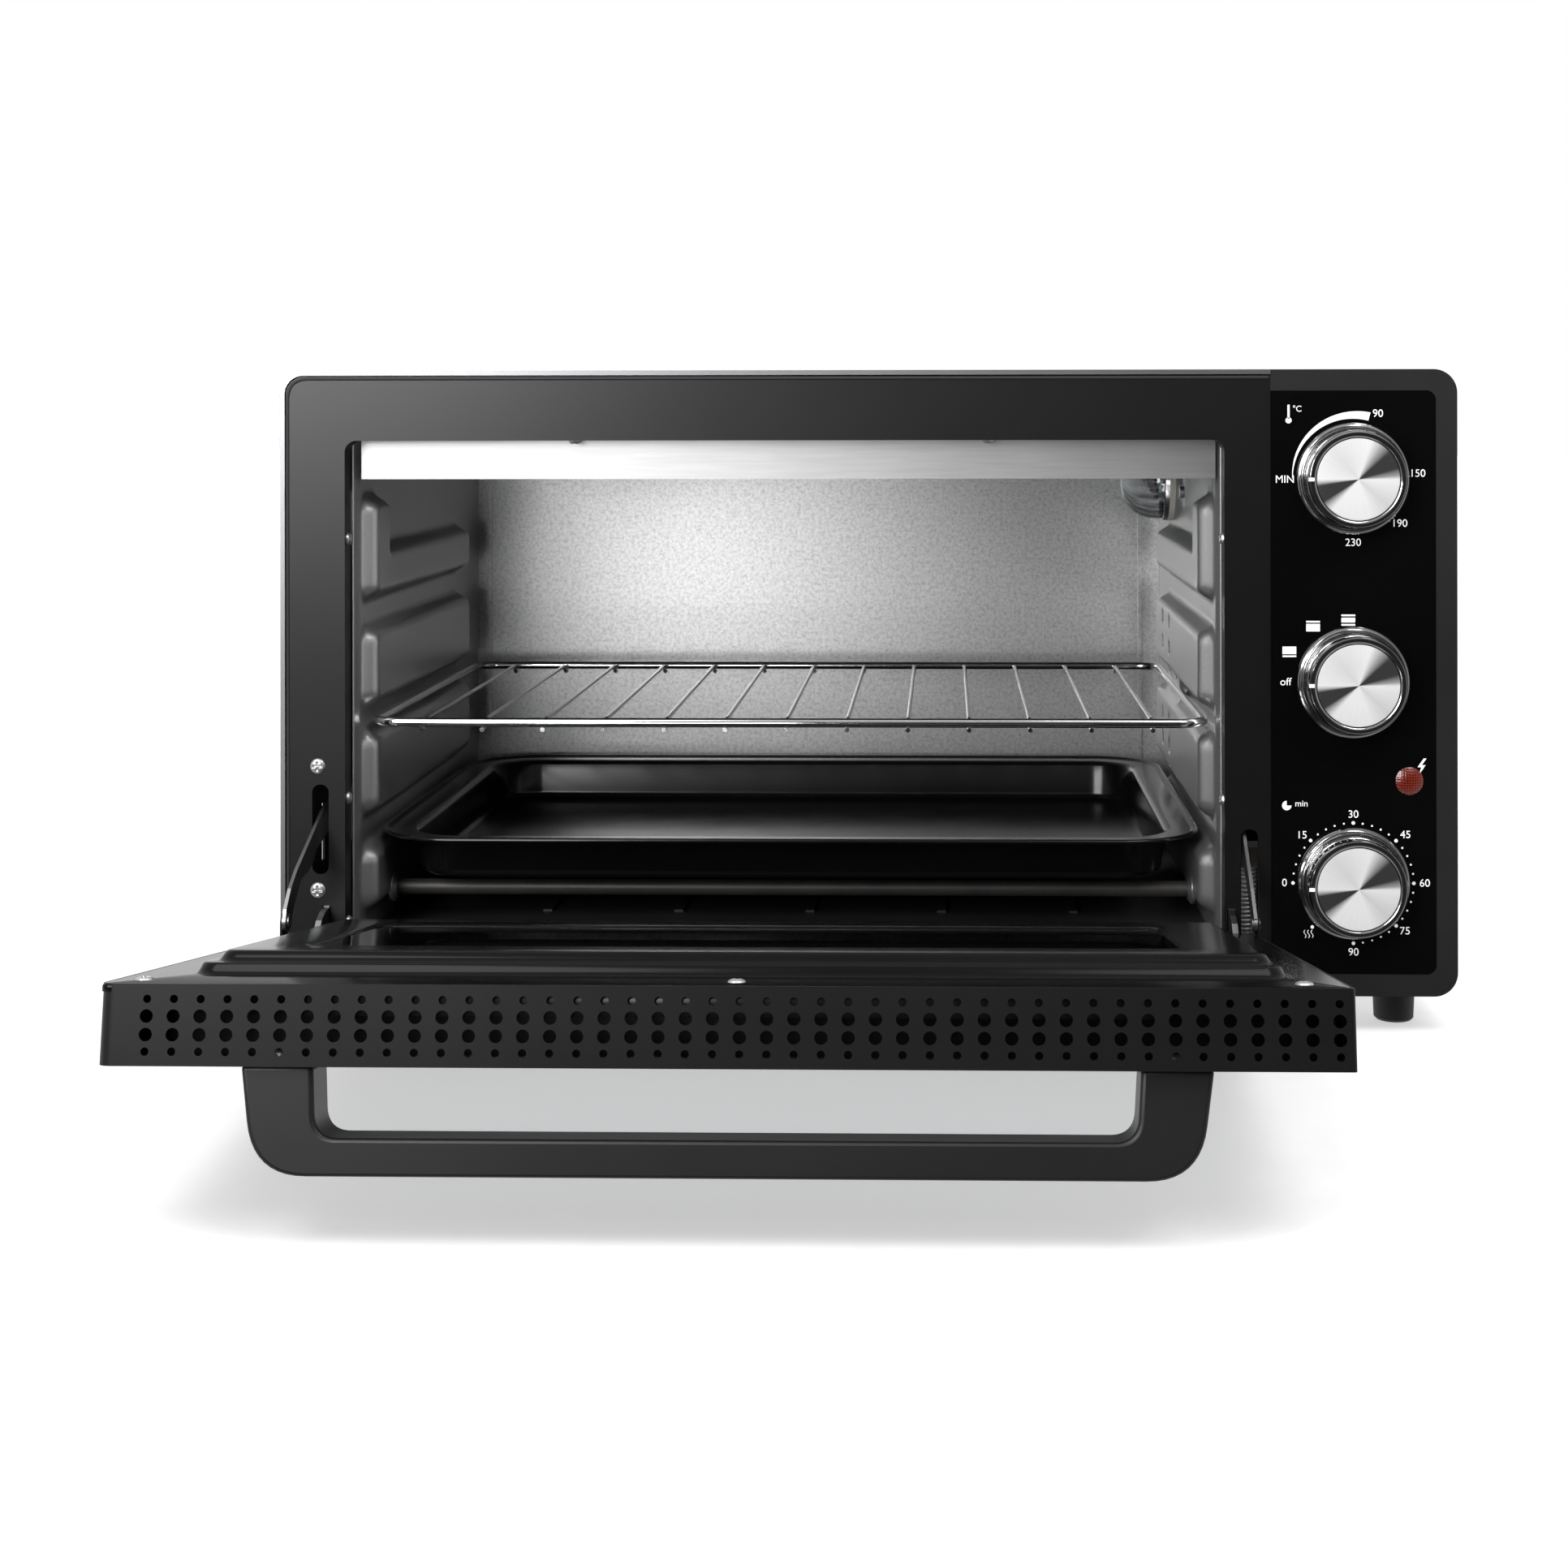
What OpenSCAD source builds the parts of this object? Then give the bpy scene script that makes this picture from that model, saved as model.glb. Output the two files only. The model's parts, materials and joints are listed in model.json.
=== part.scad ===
// Counter-top toaster oven: a sheet-metal cabinet with a drop-down door on the left and a
// control panel with three knobs on the right. The door is shown fully open, its rest pose.
// X runs to the right, Y to the back and Z up. Inside the modules Y = 0 is the front plane.

/* [Cabinet] */
// Overall width of the cabinet
body_w = 500; // [480:1:520]
// Height of the cabinet's top above the table
body_top = 281; // [278:1:290]
// Depth from the front plane to the rear panel
body_d = 299; // [290:1:320]
// Height of the feet
foot_h = 16; // [12:1:18]
// Diameter of a foot
foot_d = 18; // [14:1:22]
// Thickness of the cabinet's sheet
sheet = 1; // [0.8:0.1:1.2]
// Radius of the cabinet's long corners
corner_r = 10; // [6:1:12]

/* [Control panel] */
// Left edge of the control panel, which is the seam with the front frame
seam_x = 171.4; // [171:0.1:173]
// X of the knobs' axes
knob_x = 206; // [204:0.5:208]
// Height of the thermostat knob
thermostat_z = 234.8; // [230:0.1:238]
// Height of the selector knob
selector_z = 148.8; // [144:0.1:152]
// Height of the timer knob
timer_z = 63.9; // [60:0.1:66]
// Radius of a knob's skirt
knob_r = 23.6; // [22:0.1:24]
// How far a knob stands out of the panel
knob_h = 14; // [12:0.5:18]

/* [Cavity] */
// Left side wall's plane
cav_left = -220; // [-220:0.5:-219]
// Right side wall's plane
cav_right = 150; // [149:0.5:150]
// Height of the cavity's floor
cav_floor = 35; // [34:0.5:36]
// Height of the cavity's ceiling
cav_top = 262; // [260:0.5:264]
// Distance of the cavity's back wall from the front plane
cav_back = 262; // [255:1:270]
// How far the side walls' embossed panels stand in
emboss_h = 7; // [5:0.5:7]

/* [Door] */
// Left edge of the door
door_left = -235; // [-236:0.5:-234.5]
// Right edge of the door
door_right = 162; // [161.5:0.5:163]
// Height of the closed door's bottom edge
door_bottom = 26; // [25:0.5:27]
// Height of the door
door_h = 245; // [240:1:248]
// Thickness of the door
door_t = 25.4; // [24:0.5:28]
// Angle between the closed door and the open door
door_swing = 81; // [70:1:90]
// How far the handle stands out of the door
handle_h = 34; // [30:1:40]

/* [Rack and tray] */
// Height of the wire rack's rails
rack_z = 129; // [128.9:0.1:129.4]
// Number of the rack's cross wires
rack_wires = 13; // [9:1:17]
// Height of the baking tray's rim
tray_z = 79.5; // [79.3:0.1:80]
// Depth of the baking tray
tray_h = 21; // [15:1:22]

/* [Hidden] */
$fn = 48;
half_w = body_w / 2;
hinge_y = -12.9;
hinge_z = 34;
door_face = -1.5;                       // closed door's inner plane
door_out = door_face - door_t;          // closed door's outer plane
door_top = door_bottom + door_h;
handle_low = door_top - 22;              // closed handle's lower and upper faces
handle_high = door_top - 4;
door_reach = (handle_high - hinge_z) * sin(door_swing)
    + (hinge_y - door_out + handle_h) * cos(door_swing) - hinge_y;
bulge = 6;                              // pressed dome of the rear panel
front_y = -(body_d + bulge - door_reach) / 2;
liner = 0.6;                            // sheet of the cavity
base_z = foot_h;
eps = 0.01;

// front frame
open_l = -222.4;
open_r = 151.9;
open_b = 37;
open_t = 251.2;
hem = 2;                                // folded front edge of the cover
lip_d = 10;                             // depth of the opening's return lip
slot_l = [-236.5, -229.4, 66.2, 104.5]; // left slot: x, x, z, z
slot_r = [158.8, 166, 37.3, 86.4];

// cavity embossing: rows of raised panels, each [bottom, top]
pads = [[45, 76.4], [86, 126.7], [133, 171.5], [180, 206]];
pad_front = 15;
pad_back = 212;
column_top = 228;
column_back = 46;
upper_heater_y = [48, 160];
lower_heater_y = [48, 190];
heater_up = 240;
heater_low = 51;
heater_r = 3.5;
lamp_y = 196;
lamp_z = 228;
lamp_r = 19;

// control panel
bezel_d = 20;
fascia_r = 241;
fascia_b = 25.4;
fascia_t = 272;
lens_x = 229.6;
lens_z = 107.1;
shaft_r = 3;
running = 0.05;

// door arms
wall = 0.8;                             // door sheet
pivot_l = [-48, 57];                    // rivets of the arms, Y and Z
pivot_r = [-30, 53];
arm_t = 1.4;
arm_l = door_left + wall + 0.1;         // the arms lie against the lugs' inner sides
arm_r = door_right - wall - 0.1 - arm_t;
rivet_r = 2;
lug_r = 3.6;
gap = 0.02;                             // between faces that lie against each other

// ---------------------------------------------------------------- helpers

// puts the front plane where the part's frame has it
module at_front() translate([0, front_y, 0]) children();

// a 2D outline in X and Z, between two depths
module slab_y(y0, y1) translate([0, y1, 0]) rotate([90, 0, 0]) linear_extrude(y1 - y0) children();

// a 2D outline in Y and Z, between two X
module slab_x(x0, x1) translate([x0, 0, 0]) rotate([90, 0, 90]) linear_extrude(x1 - x0) children();

// a rounded rectangle; r lists the radii at bottom left, bottom right, top right, top left
module rrect(x0, y0, x1, y1, r) {
    corners = [[x0, y0, 1, 1], [x1, y0, -1, 1], [x1, y1, -1, -1], [x0, y1, 1, -1]];
    difference() {
        translate([x0, y0]) square([x1 - x0, y1 - y0]);
        for (i = [0:3]) if (r[i] > 0)
            translate([corners[i][0] + corners[i][2] * (r[i] / 2 - 0.5),
                       corners[i][1] + corners[i][3] * (r[i] / 2 - 0.5)])
                square([r[i] + 1, r[i] + 1], center = true);
    }
    for (i = [0:3]) if (r[i] > 0)
        translate([corners[i][0] + corners[i][2] * r[i], corners[i][1] + corners[i][3] * r[i]])
            circle(r[i]);
}

module round_box(x0, y0, x1, y1, r) rrect(x0, y0, x1, y1, [r, r, r, r]);

// a raised pad on the XY plane, its four sides sloping in
module pad(x0, y0, x1, y1, h, slope) {
    intersection() {
        translate([0, y1, 0]) rotate([90, 0, 0]) linear_extrude(y1 - y0)
            polygon([[x0, 0], [x1, 0], [x1 - slope, h], [x0 + slope, h]]);
        translate([x0, 0, 0]) rotate([90, 0, 90]) linear_extrude(x1 - x0)
            polygon([[y0, 0], [y1, 0], [y1 - slope, h], [y0 + slope, h]]);
    }
}

// a cylinder along Y from y0 to y1
module rod_y(x, z, r, y0, y1) translate([x, y1, z]) rotate([90, 0, 0]) cylinder(y1 - y0, r, r);

// a cylinder along X from x0 to x1
module rod_x(y, z, r, x0, x1) translate([x0, y, z]) rotate([0, 90, 0]) cylinder(x1 - x0, r, r);

// a body of revolution about a knob's axis; the outline's first number is the radius
// and its second the distance in front of the panel
module turned_y(x, z) translate([x, 0, z]) rotate([90, 0, 0]) rotate_extrude() children();

// round bar through a list of points
module bar(points, r) {
    for (i = [0:len(points) - 2]) {
        run = points[i + 1] - points[i];
        translate(points[i])
            rotate([0, acos(run[2] / norm(run)), atan2(run[1], run[0])])
                cylinder(norm(run), r, r);
    }
    for (i = [1:1:len(points) - 2]) translate(points[i]) sphere(r * 1.15);
}

// turns the closed door into its open, rest pose
module swung() translate([0, hinge_y, hinge_z]) rotate([door_swing, 0, 0])
    translate([0, -hinge_y, -hinge_z]) children();

// ---------------------------------------------------------------- cabinet

module cover_outline(inset)
    rrect(-half_w + inset, base_z - (inset > 0 ? 5 : 0), half_w - inset, body_top - inset,
          [0, 0, corner_r - inset, corner_r - inset]);

module side_vents(x0, rows)
    for (row = rows) for (i = [0:9])
        translate([x0 - 3, 60 + i * 12, row]) cube([6, 4, 26]);

module outer_cover() at_front() color("#202021") difference() {
    union() {
        slab_y(bezel_d, body_d - sheet) difference() {
            cover_outline(0);
            cover_outline(sheet);
        }
        slab_y(0, bezel_d + eps) intersection() {
            difference() {
                cover_outline(0);
                cover_outline(sheet);
            }
            translate([-half_w, 0]) square([half_w + seam_x, body_top]);
        }
        slab_y(-0.5, 5) intersection() {
            difference() {
                cover_outline(0);
                cover_outline(hem);
            }
            translate([-half_w, 0]) square([half_w + seam_x, body_top]);
        }
    }
    side_vents(half_w, [60, 100, 200]);
    side_vents(-half_w, [60, 200]);
}

module back_cover() at_front() color("#2a2a2b") difference() {
    union() {
        slab_y(body_d - sheet, body_d) cover_outline(0);
        translate([0, body_d, 0]) rotate([-90, 0, 0]) mirror([0, 1, 0])
            pad(-170, 55, 120, 235, bulge, 6);
    }
    translate([0, body_d - sheet, 0]) rotate([-90, 0, 0]) mirror([0, 1, 0])
        pad(-169, 56, 119, 234, bulge, 6);
    translate([-162, body_d - sheet - 1, 63]) cube([274, 2, 164]);
    for (row = [80:22:210]) for (i = [0:8])
        translate([-140 + i * 27, body_d - 5, row]) cube([18, 15, 4]);
    rod_y(205, 45, 7, body_d - 5, body_d + 5);
}

module base_plate() at_front() color("#8d8f91") translate([0, 0, base_z])
    linear_extrude(sheet) difference() {
        polygon([[-half_w + hem, 0], [seam_x, 0], [seam_x, bezel_d], [half_w - sheet, bezel_d],
                 [half_w - sheet, body_d - sheet], [-half_w + hem, body_d - sheet]]);
        for (i = [0:11]) for (y = [90, 190])
            translate([-150 + i * 22, y]) square([5, 40]);
    }

module feet() at_front() color("#151515")
    for (x = [-228, 228]) for (y = [26, body_d - 26])
        translate([x, y, 0]) rotate_extrude()
            polygon([[0, 0], [foot_d / 2 - 1.5, 0], [foot_d / 2 - 0.5, 1],
                     [foot_d / 2, foot_h - 3], [foot_d / 2, foot_h], [0, foot_h]]);

module front_frame() at_front() color("#1b1b1c") difference() {
    union() {
        slab_y(0, sheet) difference() {
            rrect(-half_w + hem + 0.4, base_z + 1, seam_x, body_top - hem - 0.4, [3, 0, 0, 8]);
            round_box(open_l, open_b, open_r, open_t, 5);
        }
        slab_y(sheet - eps, lip_d) difference() {
            round_box(open_l - sheet, open_b - sheet, open_r + sheet, open_t + sheet, 6);
            round_box(open_l, open_b, open_r, open_t, 5);
        }
        slab_y(sheet - eps, 14) difference() {
            rrect(-half_w + hem + 0.4, base_z + 1, seam_x, body_top - hem - 0.4, [3, 0, 0, 8]);
            rrect(-half_w + hem + 1.4, base_z + 2, seam_x - 1, body_top - hem - 1.4, [2, 0, 0, 7]);
        }
    }
    for (s = [slot_l, slot_r])
        slab_y(-1, sheet + 1) round_box(s[0], s[2], s[1], s[3], 3.4);
    translate([-232.2, -1, 40]) cube([3.6, sheet + 2, 13]);
    translate([152.95, -1, 37.5]) cube([3.4, sheet + 2, 15.5]);
    for (z = [59.4, 112.3]) rod_y(-234.1, z, 1.6, -1, sheet + 1);
}

// ---------------------------------------------------------------- cavity

// the raised panels of a side wall, drawn on the XY plane: X is the depth and Y the height
module side_pads(grow, deep) {
    for (p = pads) pad(pad_front + grow, p[0] + grow, pad_back - grow, p[1] - grow, deep, 5);
    pad(pad_front + grow, pads[3][0] + grow, column_back - grow, column_top - grow, deep, 5);
}

// a side wall with its inner face on X = 0 and its panels standing towards +X
module side_wall() {
    difference() {
        union() {
            slab_x(-liner, 0) translate([lip_d + 0.2, cav_floor - liner])
                square([cav_back - lip_d + liner, cav_top - cav_floor + 2 * liner]);
            rotate([90, 0, 90]) side_pads(0, emboss_h);
            translate([-3, lip_d + 0.2, cav_floor - liner])
                cube([3, liner, cav_top - cav_floor + 2 * liner]);
        }
        translate([-liner - eps, 0, 0]) rotate([90, 0, 90]) side_pads(liner, emboss_h);
        for (y = upper_heater_y) rod_x(y, heater_up, heater_r + 0.5, -10, 10);
        for (y = lower_heater_y) rod_x(y, heater_low, heater_r + 0.5, -10, 10);
        children();
    }
}

module cavity_left_wall() at_front() color("#b4b4b4") translate([cav_left, 0, 0]) side_wall();

module cavity_right_wall() at_front() color("#b4b4b4")
    translate([cav_right, 0, 0]) mirror([1, 0, 0]) side_wall() {
        for (y = [143, 174]) for (z = [88.6, 100.7, 113, 136, 148.5, 161])
            translate([-5, y - 3, z - 3]) cube([20, 6, 6]);
        rod_x(lamp_y, lamp_z, 16.2, -5, 5);
    }

module cavity_back_wall() at_front() color("#c6c6c6") union() {
    translate([cav_left, cav_back, cav_floor])
        cube([cav_right - cav_left, liner, cav_top - cav_floor]);
    for (x = [-214, 138])
        translate([x, cav_back - 1.5, cav_floor]) cube([2, 1.5, cav_top - cav_floor]);
}

module cavity_ceiling() at_front() color("#b4b4b4")
    translate([cav_left, lip_d + 0.2, cav_top])
        cube([cav_right - cav_left, cav_back - lip_d + liner - 0.2, liner]);

module cavity_floor() at_front() color("#5d5d5e") {
    translate([cav_left, lip_d + 0.2, cav_floor - liner])
        cube([cav_right - cav_left, cav_back - lip_d + liner - 0.2, liner]);
    for (x = [-150:60:90])
        translate([x, 70, cav_floor]) cube([4, 120, 1]);
}

module top_deflector() at_front() color("#dadada") {
    translate([-218, lip_d + 1, 234.5]) cube([367.5, liner, cav_top - 234.5]);
    translate([-218, lip_d + 1 + liner, 234.5]) cube([367.5, 9, liner]);
}

module heater(y, z) rod_x(y, z, heater_r, cav_left - 8, cav_right + 8);

module upper_heaters() at_front() color("#59595a") for (y = upper_heater_y) heater(y, heater_up);

module lower_heaters() at_front() color("#59595a") for (y = lower_heater_y) heater(y, heater_low);

// two ceramic rings hold each heater's ends, behind the side walls
module insulator_pair(y, z) for (x = [cav_left - liner - 6, cav_right + liner]) difference() {
    rod_x(y, z, 6, x, x + 6);
    rod_x(y, z, heater_r, x - 1, x + 7);
}

module heater_insulators() at_front() color("#e9e4d8") {
    for (y = upper_heater_y) insulator_pair(y, heater_up);
    for (y = lower_heater_y) insulator_pair(y, heater_low);
}

module lamp_holder() at_front() color("#d8d3c8") difference() {
    union() {
        rod_x(lamp_y, lamp_z, 16, cav_right - 3, cav_right + 34);
        rod_x(lamp_y, lamp_z, 20.4, cav_right - 3, cav_right);
    }
    rod_x(lamp_y, lamp_z, 7, cav_right - 10, cav_right + 28);
    rod_x(lamp_y, lamp_z, 13, cav_right - 10, cav_right + 4);
}

module lamp_bulb() at_front() color("#f5efdf") translate([cav_right - 6, lamp_y, lamp_z])
    rotate([0, 90, 0]) rotate_extrude() intersection() {
        union() {
            circle(9);
            translate([-7, 0]) square([14, 34]);
        }
        translate([0, -10]) square([10, 50]);
    }

module lamp_glass() at_front() color("#dfe6e8") translate([cav_right - 3, lamp_y, lamp_z])
    rotate([0, -90, 0]) rotate_extrude() difference() {
        union() {
            square([lamp_r, 5]);
            translate([0, 5]) intersection() {
                circle(lamp_r);
                square(lamp_r);
            }
            square([20.4, 2.5]);
        }
        translate([-1, -1]) square([lamp_r - 0.6, 6]);
        translate([0, 5]) circle(lamp_r - 1.6);
        translate([-50, -50]) square([50, 100]);
    }

module thermostat_probe() at_front() color("#b98a5a")
    rod_y(cav_right - 5, 243, 2, 54, 124);

module probe_clip() at_front() color("#a9abad") {
    translate([cav_right - 8.5, 58, 220]) cube([1, 7, 36]);
    translate([cav_right - 8.5, 58, 256]) cube([8.5, 7, 1]);
    rod_x(61.5, 227, 2.6, cav_right - 10.5, cav_right - 8.5);
}

// ---------------------------------------------------------------- controls

module bezel_outline(inset) rrect(seam_x + inset, base_z + inset, half_w - inset,
    body_top - inset, [0, corner_r - inset, corner_r - inset, 0]);

module control_bezel() at_front() color("#1f1f20") difference() {
    slab_y(0, bezel_d) bezel_outline(0);
    slab_y(2.4, bezel_d + 1) bezel_outline(2);
    slab_y(-1, 1) rrect(seam_x - 1, fascia_b, fascia_r, fascia_t, [0, 4, 4, 0]);
    for (z = [thermostat_z, selector_z, timer_z]) rod_y(knob_x, z, 6, -1, 10);
    rod_y(lens_x, lens_z, 4.9, -1, 10);
}

module control_fascia() at_front() color("#050505") difference() {
    slab_y(-0.2, 1) rrect(seam_x + 0.15, fascia_b + 0.1, fascia_r - 0.1, fascia_t - 0.1, [0, 4, 4, 0]);
    for (z = [thermostat_z, selector_z, timer_z]) rod_y(knob_x, z, 4.5, -2, 3);
    rod_y(lens_x, lens_z, 4.9, -2, 3);
}

module control_bracket() at_front() color("#a9abad") difference() {
    translate([seam_x + 4, bezel_d + 2, 26]) cube([68, 1.2, 246]);
    for (z = [thermostat_z, selector_z, timer_z]) rod_y(knob_x, z, 5, 15, 30);
    rod_y(lens_x, lens_z, 7, 15, 30);
}

bracket_back = bezel_d + 3.2;

module control_case(z, w, h, deep) difference() {
    union() {
        translate([knob_x - w / 2, bracket_back, z - h / 2]) cube([w, deep, h]);
        rod_y(knob_x, z, 4.9, bracket_back - 8, bracket_back + eps);
    }
    rod_y(knob_x, z, shaft_r + running, bracket_back - 10, bracket_back + 16);
}

module thermostat_body() at_front() color("#cfc9bb") control_case(thermostat_z, 34, 38, 24);

module selector_body() at_front() color("#33302c") control_case(selector_z, 32, 32, 30);

module timer_body() at_front() color("#b8babc") difference() {
    union() {
        rod_y(knob_x, timer_z, 26, bracket_back, bracket_back + 30);
        rod_y(knob_x, timer_z, 4.9, bracket_back - 8, bracket_back + eps);
    }
    rod_y(knob_x, timer_z, shaft_r + running, bracket_back - 10, bracket_back + 16);
}

module timer_bell() at_front() color("#c9a95c") translate([knob_x, bracket_back + 32, timer_z])
    rotate([-90, 0, 0]) rotate_extrude() difference() {
        intersection() {
            translate([0, -12]) circle(26);
            square([30, 15]);
        }
        translate([0, -13.2]) circle(26);
    }

module indicator_lens() at_front() color("#a5301c") union() {
    turned_y(lens_x, lens_z) intersection() {
        translate([0, -9.6]) circle(11.6);
        translate([0, 0.2]) square([5.85, 5]);
    }
    rod_y(lens_x, lens_z, 4.8, -0.2 - eps, 5);
}

module indicator_body() at_front() color("#d9d9d2") difference() {
    rod_y(lens_x, lens_z, 6.5, 5, 30);
    rod_y(lens_x, lens_z, 2.5, 4, 22);
}

module terminal_block() at_front() color("#e4dfd2") difference() {
    translate([185, 235, base_z + sheet]) cube([40, 18, 16]);
    for (i = [0:2]) rod_y(193 + i * 12, base_z + 9, 2.5, 230, 260);
}

module cord_grommet() at_front() color("#141414") difference() {
    union() {
        rod_y(205, 45, 7, body_d - 6, body_d + 4);
        rod_y(205, 45, 9.5, body_d, body_d + 4);
        rod_y(205, 45, 9.5, body_d - 6, body_d - sheet);
    }
    rod_y(205, 45, 4, body_d - 8, body_d + 6);
}

// ---------------------------------------------------------------- hinges and spring

module hook(x0) slab_x(x0, x0 + 2.4) difference() {
    union() {
        polygon([[2.6, 41.5], [2.6, 52], [0, 52], [-6, 51.2], [-11, 49], [-15, 45], [-17, 40],
                 [-18.2, 34], [-12.9, 28.6], [-8, 31], [-6, 41.5]]);
        translate([hinge_y, hinge_z]) circle(5.3);
    }
    translate([hinge_y, hinge_z]) circle(rivet_r + running);
}

module hinge_brackets() at_front() color("#6f7072") {
    difference() {
        slab_y(sheet, sheet + 1.6) rrect(-243, 41.5, -229.4, 118, [1, 0, 1, 1]);
        slab_y(0, 5) rrect(-237.5, 65, -229, 105.5, [1, 1, 1, 1]);
        for (z = [59.4, 112.3]) rod_y(-234.1, z, 1.6, 0, 5);
    }
    hook(-231.8);
    difference() {
        slab_y(sheet, sheet + 1.6) rrect(153.4, 28, 169.8, 100, [0, 1, 1, 0]);
        slab_y(0, 5) rrect(158, 36.4, 167, 87.4, [1, 1, 1, 1]);
    }
    hook(153.4);
    translate([157.9, sheet + 1.5, 35]) cube([9.4, 15.5, 1.4]);
}

spring_r = 4.2;
spring_wire = 0.5;
spring_pitch = 2.1;
spring_turns = 15;
spring_steps = 12;
spring_sides = 6;

// centre of the coil's wire at step i
function coil(i) = [spring_r * cos(360 * i / spring_steps), spring_r * sin(360 * i / spring_steps),
                    spring_pitch * i / spring_steps];

module spring_coil() {
    n = spring_turns * spring_steps;
    points = [for (i = [0:n]) for (k = [0:spring_sides - 1])
        coil(i) + spring_wire * (cos(360 * k / spring_sides)
            * [cos(360 * i / spring_steps), sin(360 * i / spring_steps), 0]
            + sin(360 * k / spring_sides) * [0, 0, 1])];
    sides = [for (i = [0:n - 1]) for (k = [0:spring_sides - 1])
        let (a = i * spring_sides, b = (k + 1) % spring_sides)
            [a + k, a + b, a + spring_sides + b, a + spring_sides + k]];
    ends = [[for (k = [spring_sides - 1:-1:0]) k],
            [for (k = [0:spring_sides - 1]) n * spring_sides + k]];
    polyhedron(points, concat(sides, ends));
}

module door_spring() at_front() color("#d5d6d8") translate([162.6, 13, 36.9]) spring_coil();

// ---------------------------------------------------------------- fasteners

lip_screw_y = 5.2;

module frame_screws() at_front() color("#c9cacb") {
    for (z = [59.4, 112.3]) union() {
        rod_y(-234.1, z, 3.3, -1.1, 0);
        rod_y(-234.1, z, 1.5, -eps, 7);
    }
    for (z = [45, 98, 209]) rod_x(lip_screw_y, z, 2.6, open_l, open_l + 1.6);
    for (z = [98, 209]) rod_x(lip_screw_y, z, 2.6, open_r - 1.6, open_r);
    for (x = [-124.6, 52.4]) translate([x, lip_screw_y, open_t - 1.6]) cylinder(1.6, 2.6, 2.6);
}

module rear_screws() at_front() color("#c9cacb")
    for (x = [-235, 0, 235]) for (z = [30, 266]) rod_y(x, z, 3.5, body_d, body_d + 2);

// ---------------------------------------------------------------- door, drawn closed

door_radii = [3, 3, 1.5, 5];            // bottom left, bottom right, top right, top left
vent_pitch = 8.55;
vent_cols = 45;
vent_x0 = -219.4;
vent_rows = [[-6.2, 1.3], [-11.5, 2.1], [-17.2, 2.1], [-22.4, 1.3]];

module door_outline(inset) rrect(door_left + inset, door_bottom + inset, door_right - inset,
    door_top - inset, [for (r = door_radii) max(0, r - inset)]);

// the inner bottom edge is cut back so that it clears the front frame on its way round
module heel_cut() slab_x(door_left - 1, door_right + 1)
    polygon([[-4, 25], [-4, 26], [-1.4, 29.6], [1, 29.6], [1, 25]]);

module door_shell() at_front() swung() color("#1a1a1b") difference() {
    slab_y(door_out, door_face) door_outline(0);
    slab_y(door_out + wall, door_face + 1) door_outline(wall);
    slab_y(door_out - 1, door_out + 2) round_box(-192, 72, 119, 214, 8);
    for (row = vent_rows) for (i = [0:vent_cols - 1])
        translate([vent_x0 + i * vent_pitch, row[0], door_top - 2]) cylinder(4, row[1], row[1]);
    translate([-232.9, -24, door_bottom - 1]) cube([4.9, 25, 3]);
    translate([152.3, -24, door_bottom - 1]) cube([4.9, 25, 3]);
    for (x = [-178.5, 106.5]) rod_y(x, 258, 2, door_out - 1, door_out + 2);
    heel_cut();
}

// the two steps of the inner panel, drawn on the XY plane
module panel_steps(grow, drop) {
    pad(-217 + grow, 70 + grow, 147 - grow, 241 - grow, 3.8 - drop, 3);
    pad(-211 + grow, 76 + grow, 143 - grow, 236 - grow, 7.4 - drop, 3.5);
}

module stand_up() translate([0, door_face, 0]) rotate([-90, 0, 0]) mirror([0, 1, 0]) children();

module door_inner_panel() at_front() swung() color("#19191a") difference() {
    union() {
        slab_y(door_face - wall, door_face) door_outline(wall);
        stand_up() panel_steps(0, 0);
    }
    translate([0, -wall - eps, 0]) stand_up() panel_steps(wall, 0);
    slab_y(-5, 15) round_box(-185.6, 110, 114.4, 209, 6);
    translate([-236, -4, door_bottom - 1]) cube([8.3, 8, 34]);
    translate([151.6, -4, door_bottom - 1]) cube([5.9, 8, 34]);
    for (x = [-225, -33.5, 148]) rod_y(x, 258, 1.5, -5, 5);
    heel_cut();
}

module door_inner_glass() at_front() swung() color("#1c2224")
    slab_y(door_face + 2.5, door_face + 6.6 - gap) round_box(-196, 101, 125, 218, 4);

module door_outer_glass() at_front() swung() color("#12181a")
    slab_y(door_out + wall + gap, door_out + wall + 4) round_box(-204, 60, 131, 226, 4);

module glass_clips() at_front() swung() color("#a9abad")
    for (x = [-160, 80]) for (z = [97, 218])
        translate([x, door_face + 2.5, z]) cube([12, 4.1 - gap, 4]);

module door_hinge_plates() at_front() swung() color("#8d8f91")
    for (x = [-227.9, 150.5]) difference() {
        translate([x, door_out + wall, door_bottom + wall]) cube([1.5, 20, 16]);
        rod_x(hinge_y, hinge_z, rivet_r, x - 1, x + 3);
    }

module hinge_pins() at_front() swung() color("#b5b6b8") {
    rod_x(hinge_y, hinge_z, rivet_r, door_left + wall, -226.4);
    rod_x(hinge_y, hinge_z, rivet_r, 150.5, door_right - wall);
}

// a lug stands on the edge of the door's side wall; pivot and foot are Y and Z, door open
module lug(x0, pivot, foot) difference() {
    at_front() slab_x(x0, x0 + wall) difference() {
        union() {
            translate(pivot) circle(lug_r);
            polygon([pivot - [lug_r, 0], pivot + [lug_r, 0], foot + [5, 0], foot - [5, 0]]);
        }
        translate(pivot) circle(rivet_r + running);
    }
    at_front() swung() translate([x0 - 1, door_out, door_bottom]) cube([3, door_t, door_h]);
}

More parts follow.
